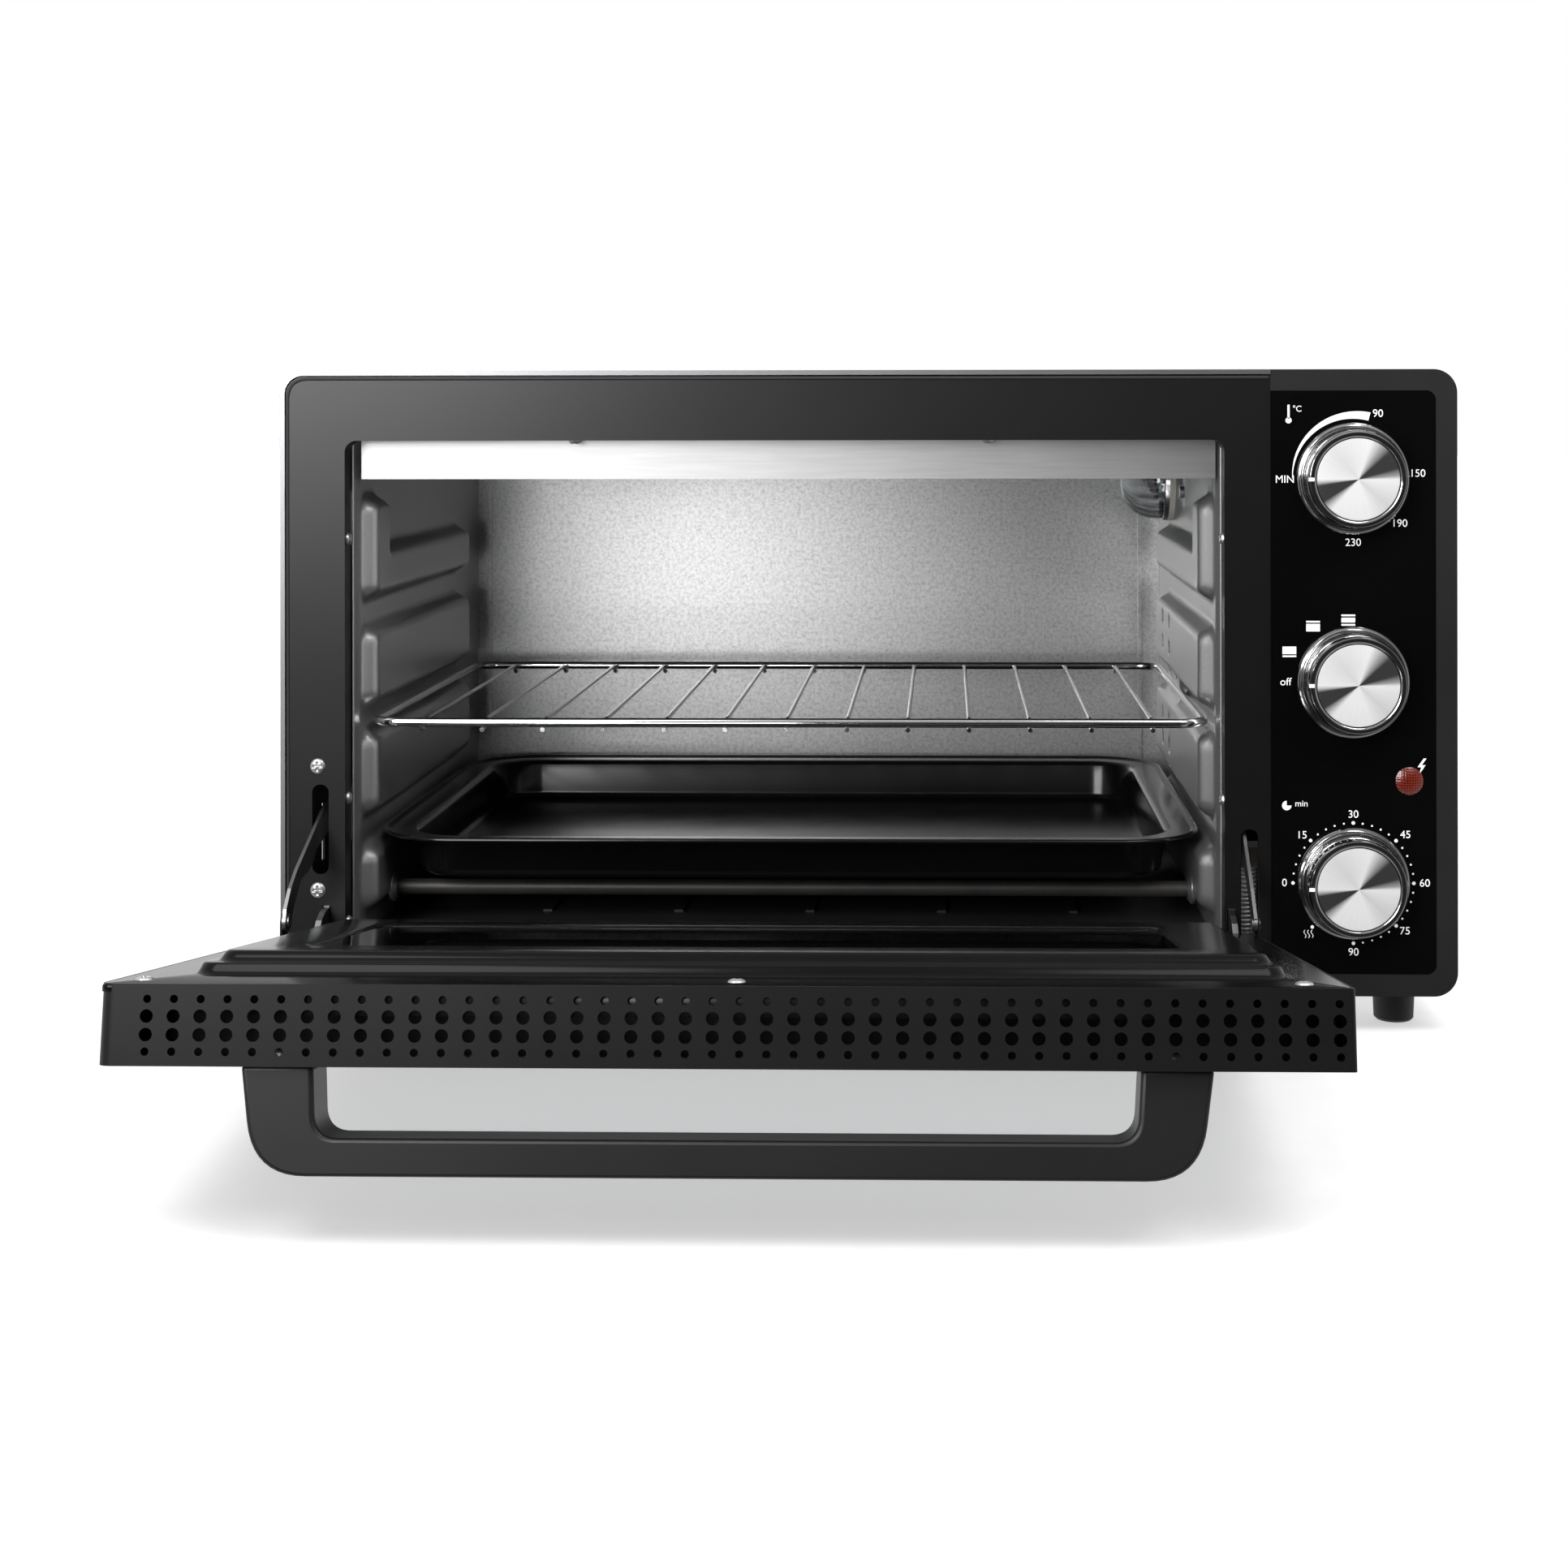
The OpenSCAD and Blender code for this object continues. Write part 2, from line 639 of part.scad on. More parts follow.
module arm_lugs() color("#8f9092") {
    lug(door_left, pivot_l, [-47, 46]);
    lug(door_right - wall, pivot_r, [-29, 42]);
}

module door_handle() at_front() swung() color("#1d1d1e") difference() {
    translate([0, 0, handle_low]) linear_extrude(handle_high - handle_low) difference() {
        rrect(-190, door_out - handle_h, 118, door_out + 20, [20, 20, 0, 0]);
        rrect(-167, door_out - handle_h + 11.7, 95, door_out + 10, [8, 8, 0, 0]);
        translate([-200, door_out - gap]) square([330, 30]);
    }
    for (x = [-178.5, 106.5]) rod_y(x, 258, rivet_r + 0.1, door_out - 15, door_out + 4);
}

module handle_screws() at_front() swung() color("#c9cacb") for (x = [-178.5, 106.5]) {
    rod_y(x, 258, 2, door_out - 14, door_out + wall + eps);
    rod_y(x, 258, 4, door_out + wall, door_out + wall + 2.4);
}

module door_screws() at_front() swung() color("#c9cacb") for (x = [-225, -33.5, 148]) {
    rod_y(x, 258, 3, door_face, door_face + 1.1);
    rod_y(x, 258, 1.5, door_face - 6, door_face + eps);
}

// ---------------------------------------------------------------- arms

module left_arm() at_front() color("#9c9d9f") {
    slab_x(arm_l, arm_l + arm_t) union() {
        polygon([[28, 103.5], [14, 97.5], [-35, 75.2], [-44, 69.5], [-50.5, 62.5], [-52.2, 57],
                 [-44.2, 56], [-40, 61], [-29.4, 70.4], [-19.7, 71], [-11.4, 73.8],
                 [-6.5, 78.3], [8.3, 81.5], [31, 92]]);
        translate(pivot_l) circle(4.3);
    }
    rod_x(pivot_l[0], pivot_l[1], rivet_r, door_left - 0.4, arm_l + eps);
    rod_x(pivot_l[0], pivot_l[1], 2.8, arm_l + arm_t - eps, arm_l + arm_t + 0.8);
}

module right_arm() at_front() color("#9c9d9f") {
    slab_x(arm_r, arm_r + arm_t) difference() {
        union() {
            polygon([[13, 93], [-2.5, 80.5], [-22, 66], [-33, 56], [-27.4, 50.4], [-16, 60],
                     [3, 74], [17, 86.5]]);
            translate(pivot_r) circle(lug_r);
        }
        translate([12.5, 87.5]) circle(1.3);
    }
    rod_x(pivot_r[0], pivot_r[1], rivet_r, arm_r + arm_t - eps, door_right + 0.4);
    rod_x(pivot_r[0], pivot_r[1], 2.8, arm_r - 0.7, arm_r + eps);
}

// ---------------------------------------------------------------- knobs

face_r = 17.3;
rim_r = 20;

module knob(z) difference() {
    union() {
        turned_y(knob_x, z) polygon([
            [0, 0.6], [knob_r - 0.4, 0.6], [knob_r, 1], [knob_r, 2], [knob_r - 0.5, 2.7],
            [knob_r - 1.4, 2.9], [knob_r - 1.8, 2.4], [knob_r - 2.1, 2.4],
            [rim_r + 0.6, knob_h - 1], [rim_r, knob_h], [face_r + 0.6, knob_h],
            [face_r + 0.3, knob_h - 1], [0, knob_h - 1]]);
        translate([knob_x - rim_r - 0.7, -knob_h + 0.2, z - 0.8]) cube([2.6, 4.5, 1.6]);
    }
    rod_y(knob_x, z, shaft_r, -knob_h + 3, 1);
}

module knob_face(z) turned_y(knob_x, z) polygon([
    [0, knob_h - 1], [face_r, knob_h - 1], [face_r, knob_h - 0.4], [face_r - 0.4, knob_h],
    [0, knob_h + 0.2]]);

module shaft(z) rod_y(knob_x, z, shaft_r, -knob_h + 3, bracket_back + 15);

module thermostat_knob() at_front() color("#b9babc") knob(thermostat_z);
module thermostat_knob_face() at_front() color("#dddddd") knob_face(thermostat_z);
module thermostat_shaft() at_front() color("#c5c5c5") shaft(thermostat_z);
module selector_knob() at_front() color("#b9babc") knob(selector_z);
module selector_knob_face() at_front() color("#dddddd") knob_face(selector_z);
module selector_shaft() at_front() color("#c5c5c5") shaft(selector_z);
module timer_knob() at_front() color("#b9babc") knob(timer_z);
module timer_knob_face() at_front() color("#dddddd") knob_face(timer_z);
module timer_shaft() at_front() color("#c5c5c5") shaft(timer_z);

// ---------------------------------------------------------------- rack and tray

rail_r = 2;
wire_r = 1;
rack_l = -215;
rack_rt = 146;
rack_f = 15.5;
rack_b = 234;
rack_corner = 12;

module rail_corner(x, y, turn) translate([x, y, rack_z]) rotate([0, 0, turn])
    rotate_extrude(angle = 90) translate([rack_corner, 0]) circle(rail_r);

module rack_frame() at_front() color("#d0d1d3") union() {
    for (y = [rack_f, rack_b])
        rod_x(y, rack_z, rail_r, rack_l + rack_corner, rack_rt - rack_corner);
    for (x = [rack_l, rack_rt])
        rod_y(x, rack_z, rail_r, rack_f + rack_corner, rack_b - rack_corner);
    rail_corner(rack_rt - rack_corner, rack_b - rack_corner, 0);
    rail_corner(rack_l + rack_corner, rack_b - rack_corner, 90);
    rail_corner(rack_l + rack_corner, rack_f + rack_corner, 180);
    rail_corner(rack_rt - rack_corner, rack_f + rack_corner, 270);
}

// each cross wire is welded under the rails and rises between them
module rack_wire_set() at_front() color("#d0d1d3") {
    low = rack_z - rail_r - wire_r - 0.01;
    high = rack_z + 0.4;
    for (i = [0:rack_wires - 1]) {
        x = -35 + (i - (rack_wires - 1) / 2) * 26.35;
        bar([[x, rack_f - 1, low], [x, rack_f + 4, low], [x, rack_f + 9, high],
             [x, rack_b - 9, high], [x, rack_b - 4, low], [x, rack_b + 1, low]], wire_r);
    }
}

tray_l = -217;
tray_rt = 146;
tray_f = 13;
tray_bk = 250;
tray_t = 0.8;
tray_side = 16;

module tray_ring(z0, z1, out, in_, r) translate([0, 0, z0]) linear_extrude(z1 - z0) difference() {
    round_box(tray_l + out, tray_f + out, tray_rt - out, tray_bk - out, r);
    round_box(tray_l + in_, tray_f + in_, tray_rt - in_, tray_bk - in_, r - (in_ - out));
}

module baking_tray() at_front() color("#0c0c0c") {
    tray_ring(tray_z - tray_t, tray_z, 0, tray_side + tray_t, 36);
    tray_ring(tray_z - 2.4, tray_z - tray_t + eps, 0, 1.6, 36);
    tray_ring(tray_z - tray_h, tray_z - tray_t + eps, tray_side, tray_side + tray_t, 20);
    translate([0, 0, tray_z - tray_h]) linear_extrude(tray_t)
        round_box(tray_l + tray_side, tray_f + tray_side, tray_rt - tray_side,
                  tray_bk - tray_side, 20);
}

// ---------------------------------------------------------------- parts

outer_cover();
back_cover();
base_plate();
feet();
front_frame();
cavity_left_wall();
cavity_right_wall();
cavity_back_wall();
cavity_ceiling();
cavity_floor();
top_deflector();
upper_heaters();
lower_heaters();
heater_insulators();
lamp_holder();
lamp_bulb();
lamp_glass();
thermostat_probe();
probe_clip();
control_bezel();
control_fascia();
control_bracket();
thermostat_body();
selector_body();
timer_body();
timer_bell();
indicator_lens();
indicator_body();
terminal_block();
cord_grommet();
hinge_brackets();
door_spring();
frame_screws();
rear_screws();
door_shell();
door_inner_panel();
door_inner_glass();
door_outer_glass();
glass_clips();
door_hinge_plates();
hinge_pins();
arm_lugs();
door_handle();
handle_screws();
door_screws();
left_arm();
right_arm();
thermostat_knob();
thermostat_knob_face();
thermostat_shaft();
selector_knob();
selector_knob_face();
selector_shaft();
timer_knob();
timer_knob_face();
timer_shaft();
rack_frame();
rack_wire_set();
baking_tray();
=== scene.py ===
"""The looks of a counter-top toaster oven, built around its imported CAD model.

Lengths are in millimetres until a mesh is made. X runs to the right, Z up, and D is the
distance behind the plane of the front frame. The door's pieces are drawn closed and swung open.
"""
import json
import math

import bmesh
import bpy
from mathutils import Matrix, Vector

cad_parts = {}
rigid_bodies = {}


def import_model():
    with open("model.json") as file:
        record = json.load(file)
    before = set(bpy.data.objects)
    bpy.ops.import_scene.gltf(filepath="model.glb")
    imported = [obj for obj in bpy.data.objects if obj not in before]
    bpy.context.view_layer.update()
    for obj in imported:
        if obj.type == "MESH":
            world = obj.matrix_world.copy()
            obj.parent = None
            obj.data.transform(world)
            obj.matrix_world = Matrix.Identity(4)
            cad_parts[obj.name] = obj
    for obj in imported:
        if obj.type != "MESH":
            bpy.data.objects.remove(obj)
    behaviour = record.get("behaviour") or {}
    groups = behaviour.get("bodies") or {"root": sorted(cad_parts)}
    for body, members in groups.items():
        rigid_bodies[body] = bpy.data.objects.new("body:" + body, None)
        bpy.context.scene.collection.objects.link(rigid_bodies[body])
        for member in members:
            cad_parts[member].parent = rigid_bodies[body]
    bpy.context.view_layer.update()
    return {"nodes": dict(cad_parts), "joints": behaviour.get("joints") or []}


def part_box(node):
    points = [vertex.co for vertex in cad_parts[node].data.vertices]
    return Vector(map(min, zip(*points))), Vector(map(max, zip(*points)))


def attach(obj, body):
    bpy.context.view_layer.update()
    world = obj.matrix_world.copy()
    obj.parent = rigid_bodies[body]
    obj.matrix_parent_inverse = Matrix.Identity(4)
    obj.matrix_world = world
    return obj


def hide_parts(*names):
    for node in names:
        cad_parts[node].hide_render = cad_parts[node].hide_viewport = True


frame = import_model()
nodes = frame["nodes"]
joints = {j["name"]: j for j in frame["joints"]}

MM = 0.001
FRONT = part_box("front_frame")[0].y                     # row Y of the front plane, in metres
HINGE = Vector(joints["door_hinge"]["pos_m"])
OPEN = math.radians(joints["door_hinge"]["range_deg"][1])
SWING = Matrix.Translation(HINGE) @ Matrix.Rotation(OPEN, 4, "X") @ Matrix.Translation(-HINGE)

DOOR_FACE = -1.5                                       # closed door's inner plane
DOOR_OUT = -26.9                                       # and its outer plane
KNOB_X = 206.0
KNOB_Z = {"thermostat": 234.8, "selector": 148.8, "timer": 63.9}
CAV_L, CAV_R, CAV_FLOOR, CAV_TOP, CAV_BACK = -220.0, 150.0, 35.0, 262.0, 262.0


def at(x, d, z):
    """A point in the row frame from millimetres and the distance behind the front plane."""
    return Vector((x * MM, FRONT + d * MM, z * MM))


# ---------------------------------------------------------------- materials

def new_look(name):
    mat = bpy.data.materials.new(name)
    mat.use_nodes = True
    tree = mat.node_tree
    return mat, tree, tree.nodes["Principled BSDF"]


def noise(tree, vector, scale, detail=3.0, roughness=0.55):
    n = tree.nodes.new("ShaderNodeTexNoise")
    n.inputs["Scale"].default_value = scale
    n.inputs["Detail"].default_value = detail
    n.inputs["Roughness"].default_value = roughness
    tree.links.new(vector, n.inputs["Vector"])
    return n.outputs["Fac"]


def ramp(tree, fac, stops):
    r = tree.nodes.new("ShaderNodeValToRGB")
    els = r.color_ramp.elements
    while len(els) < len(stops):
        els.new(0.5)
    for el, (pos, value) in zip(els, stops):
        el.position = pos
        el.color = (*value, 1.0) if len(value) == 3 else value
    tree.links.new(fac, r.inputs["Fac"])
    return r.outputs["Color"]


def grey(v):
    return (v, v, v)


def bump(tree, height, strength, distance, normal=None):
    b = tree.nodes.new("ShaderNodeBump")
    b.inputs["Strength"].default_value = strength
    b.inputs["Distance"].default_value = distance
    tree.links.new(height, b.inputs["Height"])
    if normal is not None:
        tree.links.new(normal, b.inputs["Normal"])
    return b.outputs["Normal"]


def object_coords(tree, stretch=(1, 1, 1)):
    tc = tree.nodes.new("ShaderNodeTexCoord")
    mp = tree.nodes.new("ShaderNodeMapping")
    mp.inputs["Scale"].default_value = stretch
    tree.links.new(tc.outputs["Object"], mp.inputs["Vector"])
    return mp.outputs["Vector"]


def surface(name, low, high, rough, metallic=0.0, grain=900.0, grain_depth=0.25, grain_mm=0.02,
            patch=9.0, stretch=(1, 1, 1), specular=0.5, detail=3.0):
    """A general finish: slow colour patches, a fine grain in the bump and an uneven gloss."""
    mat, tree, bsdf = new_look(name)
    wide = object_coords(tree)
    fine = object_coords(tree, stretch)
    slow = noise(tree, wide, patch, 4.0)
    quick = noise(tree, fine, grain, detail, 0.6)
    tint = ramp(tree, slow, [(0.3, low), (0.7, high)])
    speck = ramp(tree, quick, [(0.2, grey(0.86)), (0.8, grey(1.0))])
    mix = tree.nodes.new("ShaderNodeMix")
    mix.data_type = "RGBA"
    mix.blend_type = "MULTIPLY"
    mix.inputs["Factor"].default_value = 1.0
    tree.links.new(tint, mix.inputs["A"])
    tree.links.new(speck, mix.inputs["B"])
    tree.links.new(mix.outputs["Result"], bsdf.inputs["Base Color"])
    gloss = ramp(tree, slow, [(0.25, grey(rough[0])), (0.75, grey(rough[1]))])
    tree.links.new(gloss, bsdf.inputs["Roughness"])
    tree.links.new(bump(tree, quick, grain_depth, grain_mm * MM), bsdf.inputs["Normal"])
    bsdf.inputs["Metallic"].default_value = metallic
    bsdf.inputs["Specular IOR Level"].default_value = specular
    return mat


def cover_look():
    """Black coating; the front face of the folded edge is made bright grey metal, a painted highlight for the
    bright rim along the front edge.
    """
    mat = surface("cover_look", grey(0.006), grey(0.009), (0.34, 0.42), grain=1500, grain_mm=0.03,
                  specular=0.3)
    tree = mat.node_tree
    bsdf = tree.nodes["Principled BSDF"]
    tc = tree.nodes.new("ShaderNodeTexCoord")
    sep = tree.nodes.new("ShaderNodeSeparateXYZ")
    tree.links.new(tc.outputs["Object"], sep.inputs["Vector"])
    # painted highlight: this mask turns only the hem's front face into bright grey metal
    edge = tree.nodes.new("ShaderNodeMapRange")
    edge.inputs["From Min"].default_value = FRONT + 1.2 * MM
    edge.inputs["From Max"].default_value = FRONT + 0.9 * MM
    tree.links.new(sep.outputs["Y"], edge.inputs["Value"])
    paint = bsdf.inputs["Base Color"].links[0].from_socket
    mix = tree.nodes.new("ShaderNodeMix")
    mix.data_type = "RGBA"
    mix.inputs["B"].default_value = (0.27, 0.27, 0.28, 1)
    tree.links.new(edge.outputs["Result"], mix.inputs["Factor"])
    tree.links.new(paint, mix.inputs["A"])
    tree.links.new(mix.outputs["Result"], bsdf.inputs["Base Color"])
    tree.links.new(edge.outputs["Result"], bsdf.inputs["Metallic"])
    return mat


def glass_look(name, tint, rough):
    mat, tree, bsdf = new_look(name)
    fac = noise(tree, object_coords(tree), 14.0, 4.0)
    tree.links.new(ramp(tree, fac, [(0.3, tint), (0.7, [c * 1.06 for c in tint])]),
                   bsdf.inputs["Base Color"])
    tree.links.new(ramp(tree, fac, [(0.3, grey(rough)), (0.7, grey(rough * 2))]),
                   bsdf.inputs["Roughness"])
    bsdf.inputs["Transmission Weight"].default_value = 1.0
    bsdf.inputs["IOR"].default_value = 1.5
    return mat


def lens_look():
    """Amber-red lens with a fine square grid moulded behind it."""
    mat, tree, bsdf = new_look("lens_look")
    tc = tree.nodes.new("ShaderNodeTexCoord")
    sep = tree.nodes.new("ShaderNodeSeparateXYZ")
    tree.links.new(tc.outputs["Object"], sep.inputs["Vector"])
    waves = []
    for axis in ("X", "Z"):
        mul = tree.nodes.new("ShaderNodeMath")
        mul.operation = "MULTIPLY"
        mul.inputs[1].default_value = 2 * math.pi / (1.1 * MM)
        tree.links.new(sep.outputs[axis], mul.inputs[0])
        sine = tree.nodes.new("ShaderNodeMath")
        sine.operation = "SINE"
        tree.links.new(mul.outputs[0], sine.inputs[0])
        waves.append(sine.outputs[0])
    top = tree.nodes.new("ShaderNodeMath")
    top.operation = "MAXIMUM"
    tree.links.new(waves[0], top.inputs[0])
    tree.links.new(waves[1], top.inputs[1])
    tree.links.new(ramp(tree, top.outputs[0], [(0.2, (0.035, 0.003, 0.001)), (0.95, (0.16, 0.013, 0.004))]),
                   bsdf.inputs["Base Color"])
    tree.links.new(bump(tree, top.outputs[0], 0.4, 0.1 * MM), bsdf.inputs["Normal"])
    bsdf.inputs["Roughness"].default_value = 0.18
    bsdf.inputs["Coat Weight"].default_value = 0.4
    bsdf.inputs["Coat Roughness"].default_value = 0.04
    return mat


def spun_painted_sheen_look():
    """A disc turned on a lathe: rings in the bump, and a painted reflection, light and dark wedges that fan
    out from its centre in the base colour.
    """
    mat, tree, bsdf = new_look("spun_painted_sheen_look")
    tc = tree.nodes.new("ShaderNodeTexCoord")
    sep = tree.nodes.new("ShaderNodeSeparateXYZ")
    tree.links.new(tc.outputs["Object"], sep.inputs["Vector"])
    angle = tree.nodes.new("ShaderNodeMath")
    angle.operation = "ARCTAN2"
    tree.links.new(sep.outputs["Z"], angle.inputs[0])
    tree.links.new(sep.outputs["X"], angle.inputs[1])
    turn = tree.nodes.new("ShaderNodeMapRange")
    turn.inputs["From Min"].default_value = -math.pi
    turn.inputs["From Max"].default_value = math.pi
    tree.links.new(angle.outputs[0], turn.inputs["Value"])
    # painted reflection: light and dark wedges by angle about the knob's axis stand in for the spun metal's
    # sheen, and turn with the knob
    dark, mid, light = grey(0.025), grey(0.24), grey(0.60)
    painted_sheen_fan = ramp(tree, turn.outputs["Result"], [
        (0.0, light), (0.025, dark), (0.09, dark), (0.135, light), (0.30, light), (0.38, grey(0.46)),
        (0.50, light), (0.515, mid), (0.545, dark), (0.615, dark), (0.65, mid), (0.70, light),
        (0.86, grey(0.50)), (1.0, light)])
    comb = tree.nodes.new("ShaderNodeCombineXYZ")
    tree.links.new(angle.outputs[0], comb.inputs["X"])
    streak = noise(tree, comb.outputs["Vector"], 26.0, 6.0, 0.7)
    fine = ramp(tree, streak, [(0.25, grey(0.80)), (0.75, grey(1.0))])
    mix = tree.nodes.new("ShaderNodeMix")
    mix.data_type = "RGBA"
    mix.blend_type = "MULTIPLY"
    mix.inputs["Factor"].default_value = 1.0
    tree.links.new(painted_sheen_fan, mix.inputs["A"])
    tree.links.new(fine, mix.inputs["B"])
    tree.links.new(mix.outputs["Result"], bsdf.inputs["Base Color"])
    length = tree.nodes.new("ShaderNodeVectorMath")
    length.operation = "LENGTH"
    tree.links.new(tc.outputs["Object"], length.inputs[0])
    ring = tree.nodes.new("ShaderNodeMath")
    ring.operation = "MULTIPLY"
    ring.inputs[1].default_value = 2 * math.pi / (0.35 * MM)
    tree.links.new(length.outputs["Value"], ring.inputs[0])
    groove = tree.nodes.new("ShaderNodeMath")
    groove.operation = "SINE"
    tree.links.new(ring.outputs[0], groove.inputs[0])
    tree.links.new(bump(tree, groove.outputs[0], 0.15, 0.01 * MM), bsdf.inputs["Normal"])
    bsdf.inputs["Metallic"].default_value = 0.10
    bsdf.inputs["Roughness"].default_value = 0.34
    return mat


def print_look():
    mat, tree, bsdf = new_look("print_look")
    fac = noise(tree, object_coords(tree), 2500.0)
    tree.links.new(ramp(tree, fac, [(0.3, grey(0.74)), (0.7, grey(0.86))]), bsdf.inputs["Base Color"])
    tree.links.new(ramp(tree, fac, [(0.3, grey(0.4)), (0.7, grey(0.5))]), bsdf.inputs["Roughness"])
    return mat


look = {
    "cover": cover_look(),
    "rear": surface("rear_look", grey(0.010), grey(0.015), (0.5, 0.6), grain=1200, grain_mm=0.03,
                    specular=0.3),
    "frame": surface("frame_look", grey(0.0016), grey(0.0024), (0.33, 0.37), grain=1600, grain_mm=0.02,
                     specular=0.45),
    "door": surface("door_look", grey(0.0035), grey(0.005), (0.34, 0.40), grain=1600, grain_mm=0.02,
                    specular=0.22),
    "panel": surface("panel_look", grey(0.002), grey(0.003), (0.15, 0.20), grain=1300, grain_mm=0.01,
                     specular=0.12),
    "bezel": surface("bezel_look", grey(0.010), grey(0.013), (0.40, 0.48), grain=2200, grain_mm=0.02,
                     specular=0.25),
    "fascia": surface("fascia_look", grey(0.0012), grey(0.002), (0.06, 0.10), grain=500,
                      grain_depth=0.04, grain_mm=0.01, specular=0.35),
    "cavity": surface("cavity_look", grey(0.42), grey(0.50), (0.29, 0.35), metallic=0.88, grain=1100,
                      grain_depth=0.35, grain_mm=0.02, patch=5.0, detail=6.0),
    "back": surface("back_look", grey(0.46), grey(0.54), (0.29, 0.35), metallic=0.88, grain=700,
                    grain_depth=0.4, grain_mm=0.02, patch=5.0, detail=6.0),
    "bright": surface("bright_look", grey(0.35), grey(0.41), (0.34, 0.42), metallic=0.9, grain=700,
                      grain_depth=0.25, grain_mm=0.01, stretch=(0.05, 1, 1)),
    "floor_sheet": surface("floor_sheet_look", grey(0.03), grey(0.05), (0.4, 0.55), metallic=0.6,
                           grain=900, grain_mm=0.02),
    "zinc": surface("zinc_look", (0.50, 0.51, 0.52), (0.60, 0.60, 0.61), (0.3, 0.42), metallic=0.95,
                    grain=800, grain_mm=0.02, patch=40),
    "arm": surface("arm_look", grey(0.16), grey(0.24), (0.30, 0.42), metallic=1.0, grain=900,
                   grain_mm=0.02, patch=40, stretch=(1, 1, 0.2)),
    "heater": surface("heater_look", (0.030, 0.028, 0.027), (0.05, 0.048, 0.046), (0.42, 0.55),
                      metallic=0.4, grain=1200, grain_mm=0.03, patch=30),
    "ceramic": surface("ceramic_look", (0.78, 0.75, 0.68), (0.84, 0.82, 0.76), (0.25, 0.4), grain=900),
    "chrome": surface("chrome_look", grey(0.80), grey(0.86), (0.06, 0.12), metallic=1.0, grain=500,
                      grain_depth=0.05, grain_mm=0.005, patch=30),
    "spring": surface("spring_look", grey(0.62), grey(0.70), (0.28, 0.36), metallic=0.5, grain=900,
                      grain_mm=0.01),
    "knob": surface("knob_look", grey(0.70), grey(0.78), (0.08, 0.12), metallic=1.0, grain=900,
                    grain_depth=0.02, grain_mm=0.002, patch=60),
    "copper": surface("copper_look", (0.60, 0.33, 0.20), (0.72, 0.43, 0.28), (0.25, 0.4), metallic=1.0),
    "handle": surface("handle_look", grey(0.003), grey(0.0042), (0.40, 0.48), grain=2600, grain_mm=0.03,
                      specular=0.38),
    "rubber": surface("rubber_look", grey(0.006), grey(0.010), (0.55, 0.7), grain=1800, grain_mm=0.04),
    "enamel": surface("enamel_look", grey(0.0025), grey(0.004), (0.13, 0.20), grain=250,
                      grain_depth=0.12, grain_mm=0.03, specular=0.3),
    "control": surface("control_look", (0.55, 0.52, 0.45), (0.62, 0.59, 0.52), (0.45, 0.6), grain=1500),
    "lamp": glass_look("lamp_look", (0.92, 0.94, 0.95), 0.03),
    "window": glass_look("window_look", (0.32, 0.36, 0.38), 0.015),
    "lens": lens_look(),
    "spun": spun_painted_sheen_look(),
    "print": print_look(),
}

spangle = look["back"].node_tree
mottle = noise(spangle, object_coords(spangle), 520.0, 8.0, 0.8)
shade = spangle.nodes.new("ShaderNodeMix")
shade.data_type = "RGBA"
shade.blend_type = "MULTIPLY"
shade.inputs["Factor"].default_value = 1.0
metal = spangle.nodes["Principled BSDF"].inputs["Base Color"]
spangle.links.new(metal.links[0].from_socket, shade.inputs["A"])
spangle.links.new(ramp(spangle, mottle, [(0.36, grey(0.62)), (0.56, grey(1.0))]), shade.inputs["B"])
spangle.links.new(shade.outputs["Result"], metal)

CARRIED = {
    "cover": ["outer_cover"], "rear": ["back_cover"], "frame": ["front_frame"],
    "door": ["door_shell", "arm_lugs"], "bezel": ["control_bezel"], "fascia": ["control_fascia"],
    "cavity": ["cavity_ceiling"], "back": ["cavity_back_wall"], "bright": ["top_deflector"],
    "floor_sheet": ["cavity_floor"],
    "zinc": ["base_plate", "probe_clip", "control_bracket", "timer_body", "timer_bell", "glass_clips",
             "door_hinge_plates", "rear_screws", "handle_screws", "hinge_pins"],
    "arm": ["hinge_brackets", "left_arm", "right_arm", "thermostat_shaft", "selector_shaft",
            "timer_shaft"],
    "heater": ["upper_heaters", "lower_heaters"], "ceramic": ["heater_insulators", "lamp_holder"],
    "copper": ["thermostat_probe"], "rubber": ["feet", "cord_grommet"],
    "control": ["thermostat_body", "selector_body", "indicator_body", "terminal_block"],
    "lamp": ["lamp_bulb"], "window": ["door_inner_glass", "door_outer_glass"],
    "lens": ["indicator_lens"],
}
for kind, names in CARRIED.items():
    for name in names:
        nodes[name].data.materials.clear()
        nodes[name].data.materials.append(look[kind])


# ---------------------------------------------------------------- mesh helpers

def piece(name, bm, kind, body, replaced=(), smooth=40.0, place=None, origin=None):
    """Makes the object, moves it by place, and lets it ride on its body."""
    if place is not None:
        bm.transform(place)
    if origin is not None:
        bm.transform(Matrix.Translation(-origin))
    bmesh.ops.recalc_face_normals(bm, faces=bm.faces)
    mesh = bpy.data.meshes.new(name)
    bm.to_mesh(mesh)
    bm.free()
    mesh.shade_smooth()
    mesh.set_sharp_from_angle(angle=math.radians(smooth))
    obj = bpy.data.objects.new(name, mesh)
    bpy.context.scene.collection.objects.link(obj)
    if origin is not None:
        obj.location = origin
    mesh.materials.append(look[kind])
    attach(obj, body)
    if replaced:
        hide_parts(*replaced)
    return obj


def modifier(obj, kind, **values):
    m = obj.modifiers.new(kind.lower(), kind)
    for k, v in values.items():
        setattr(m, k, v)
    return m


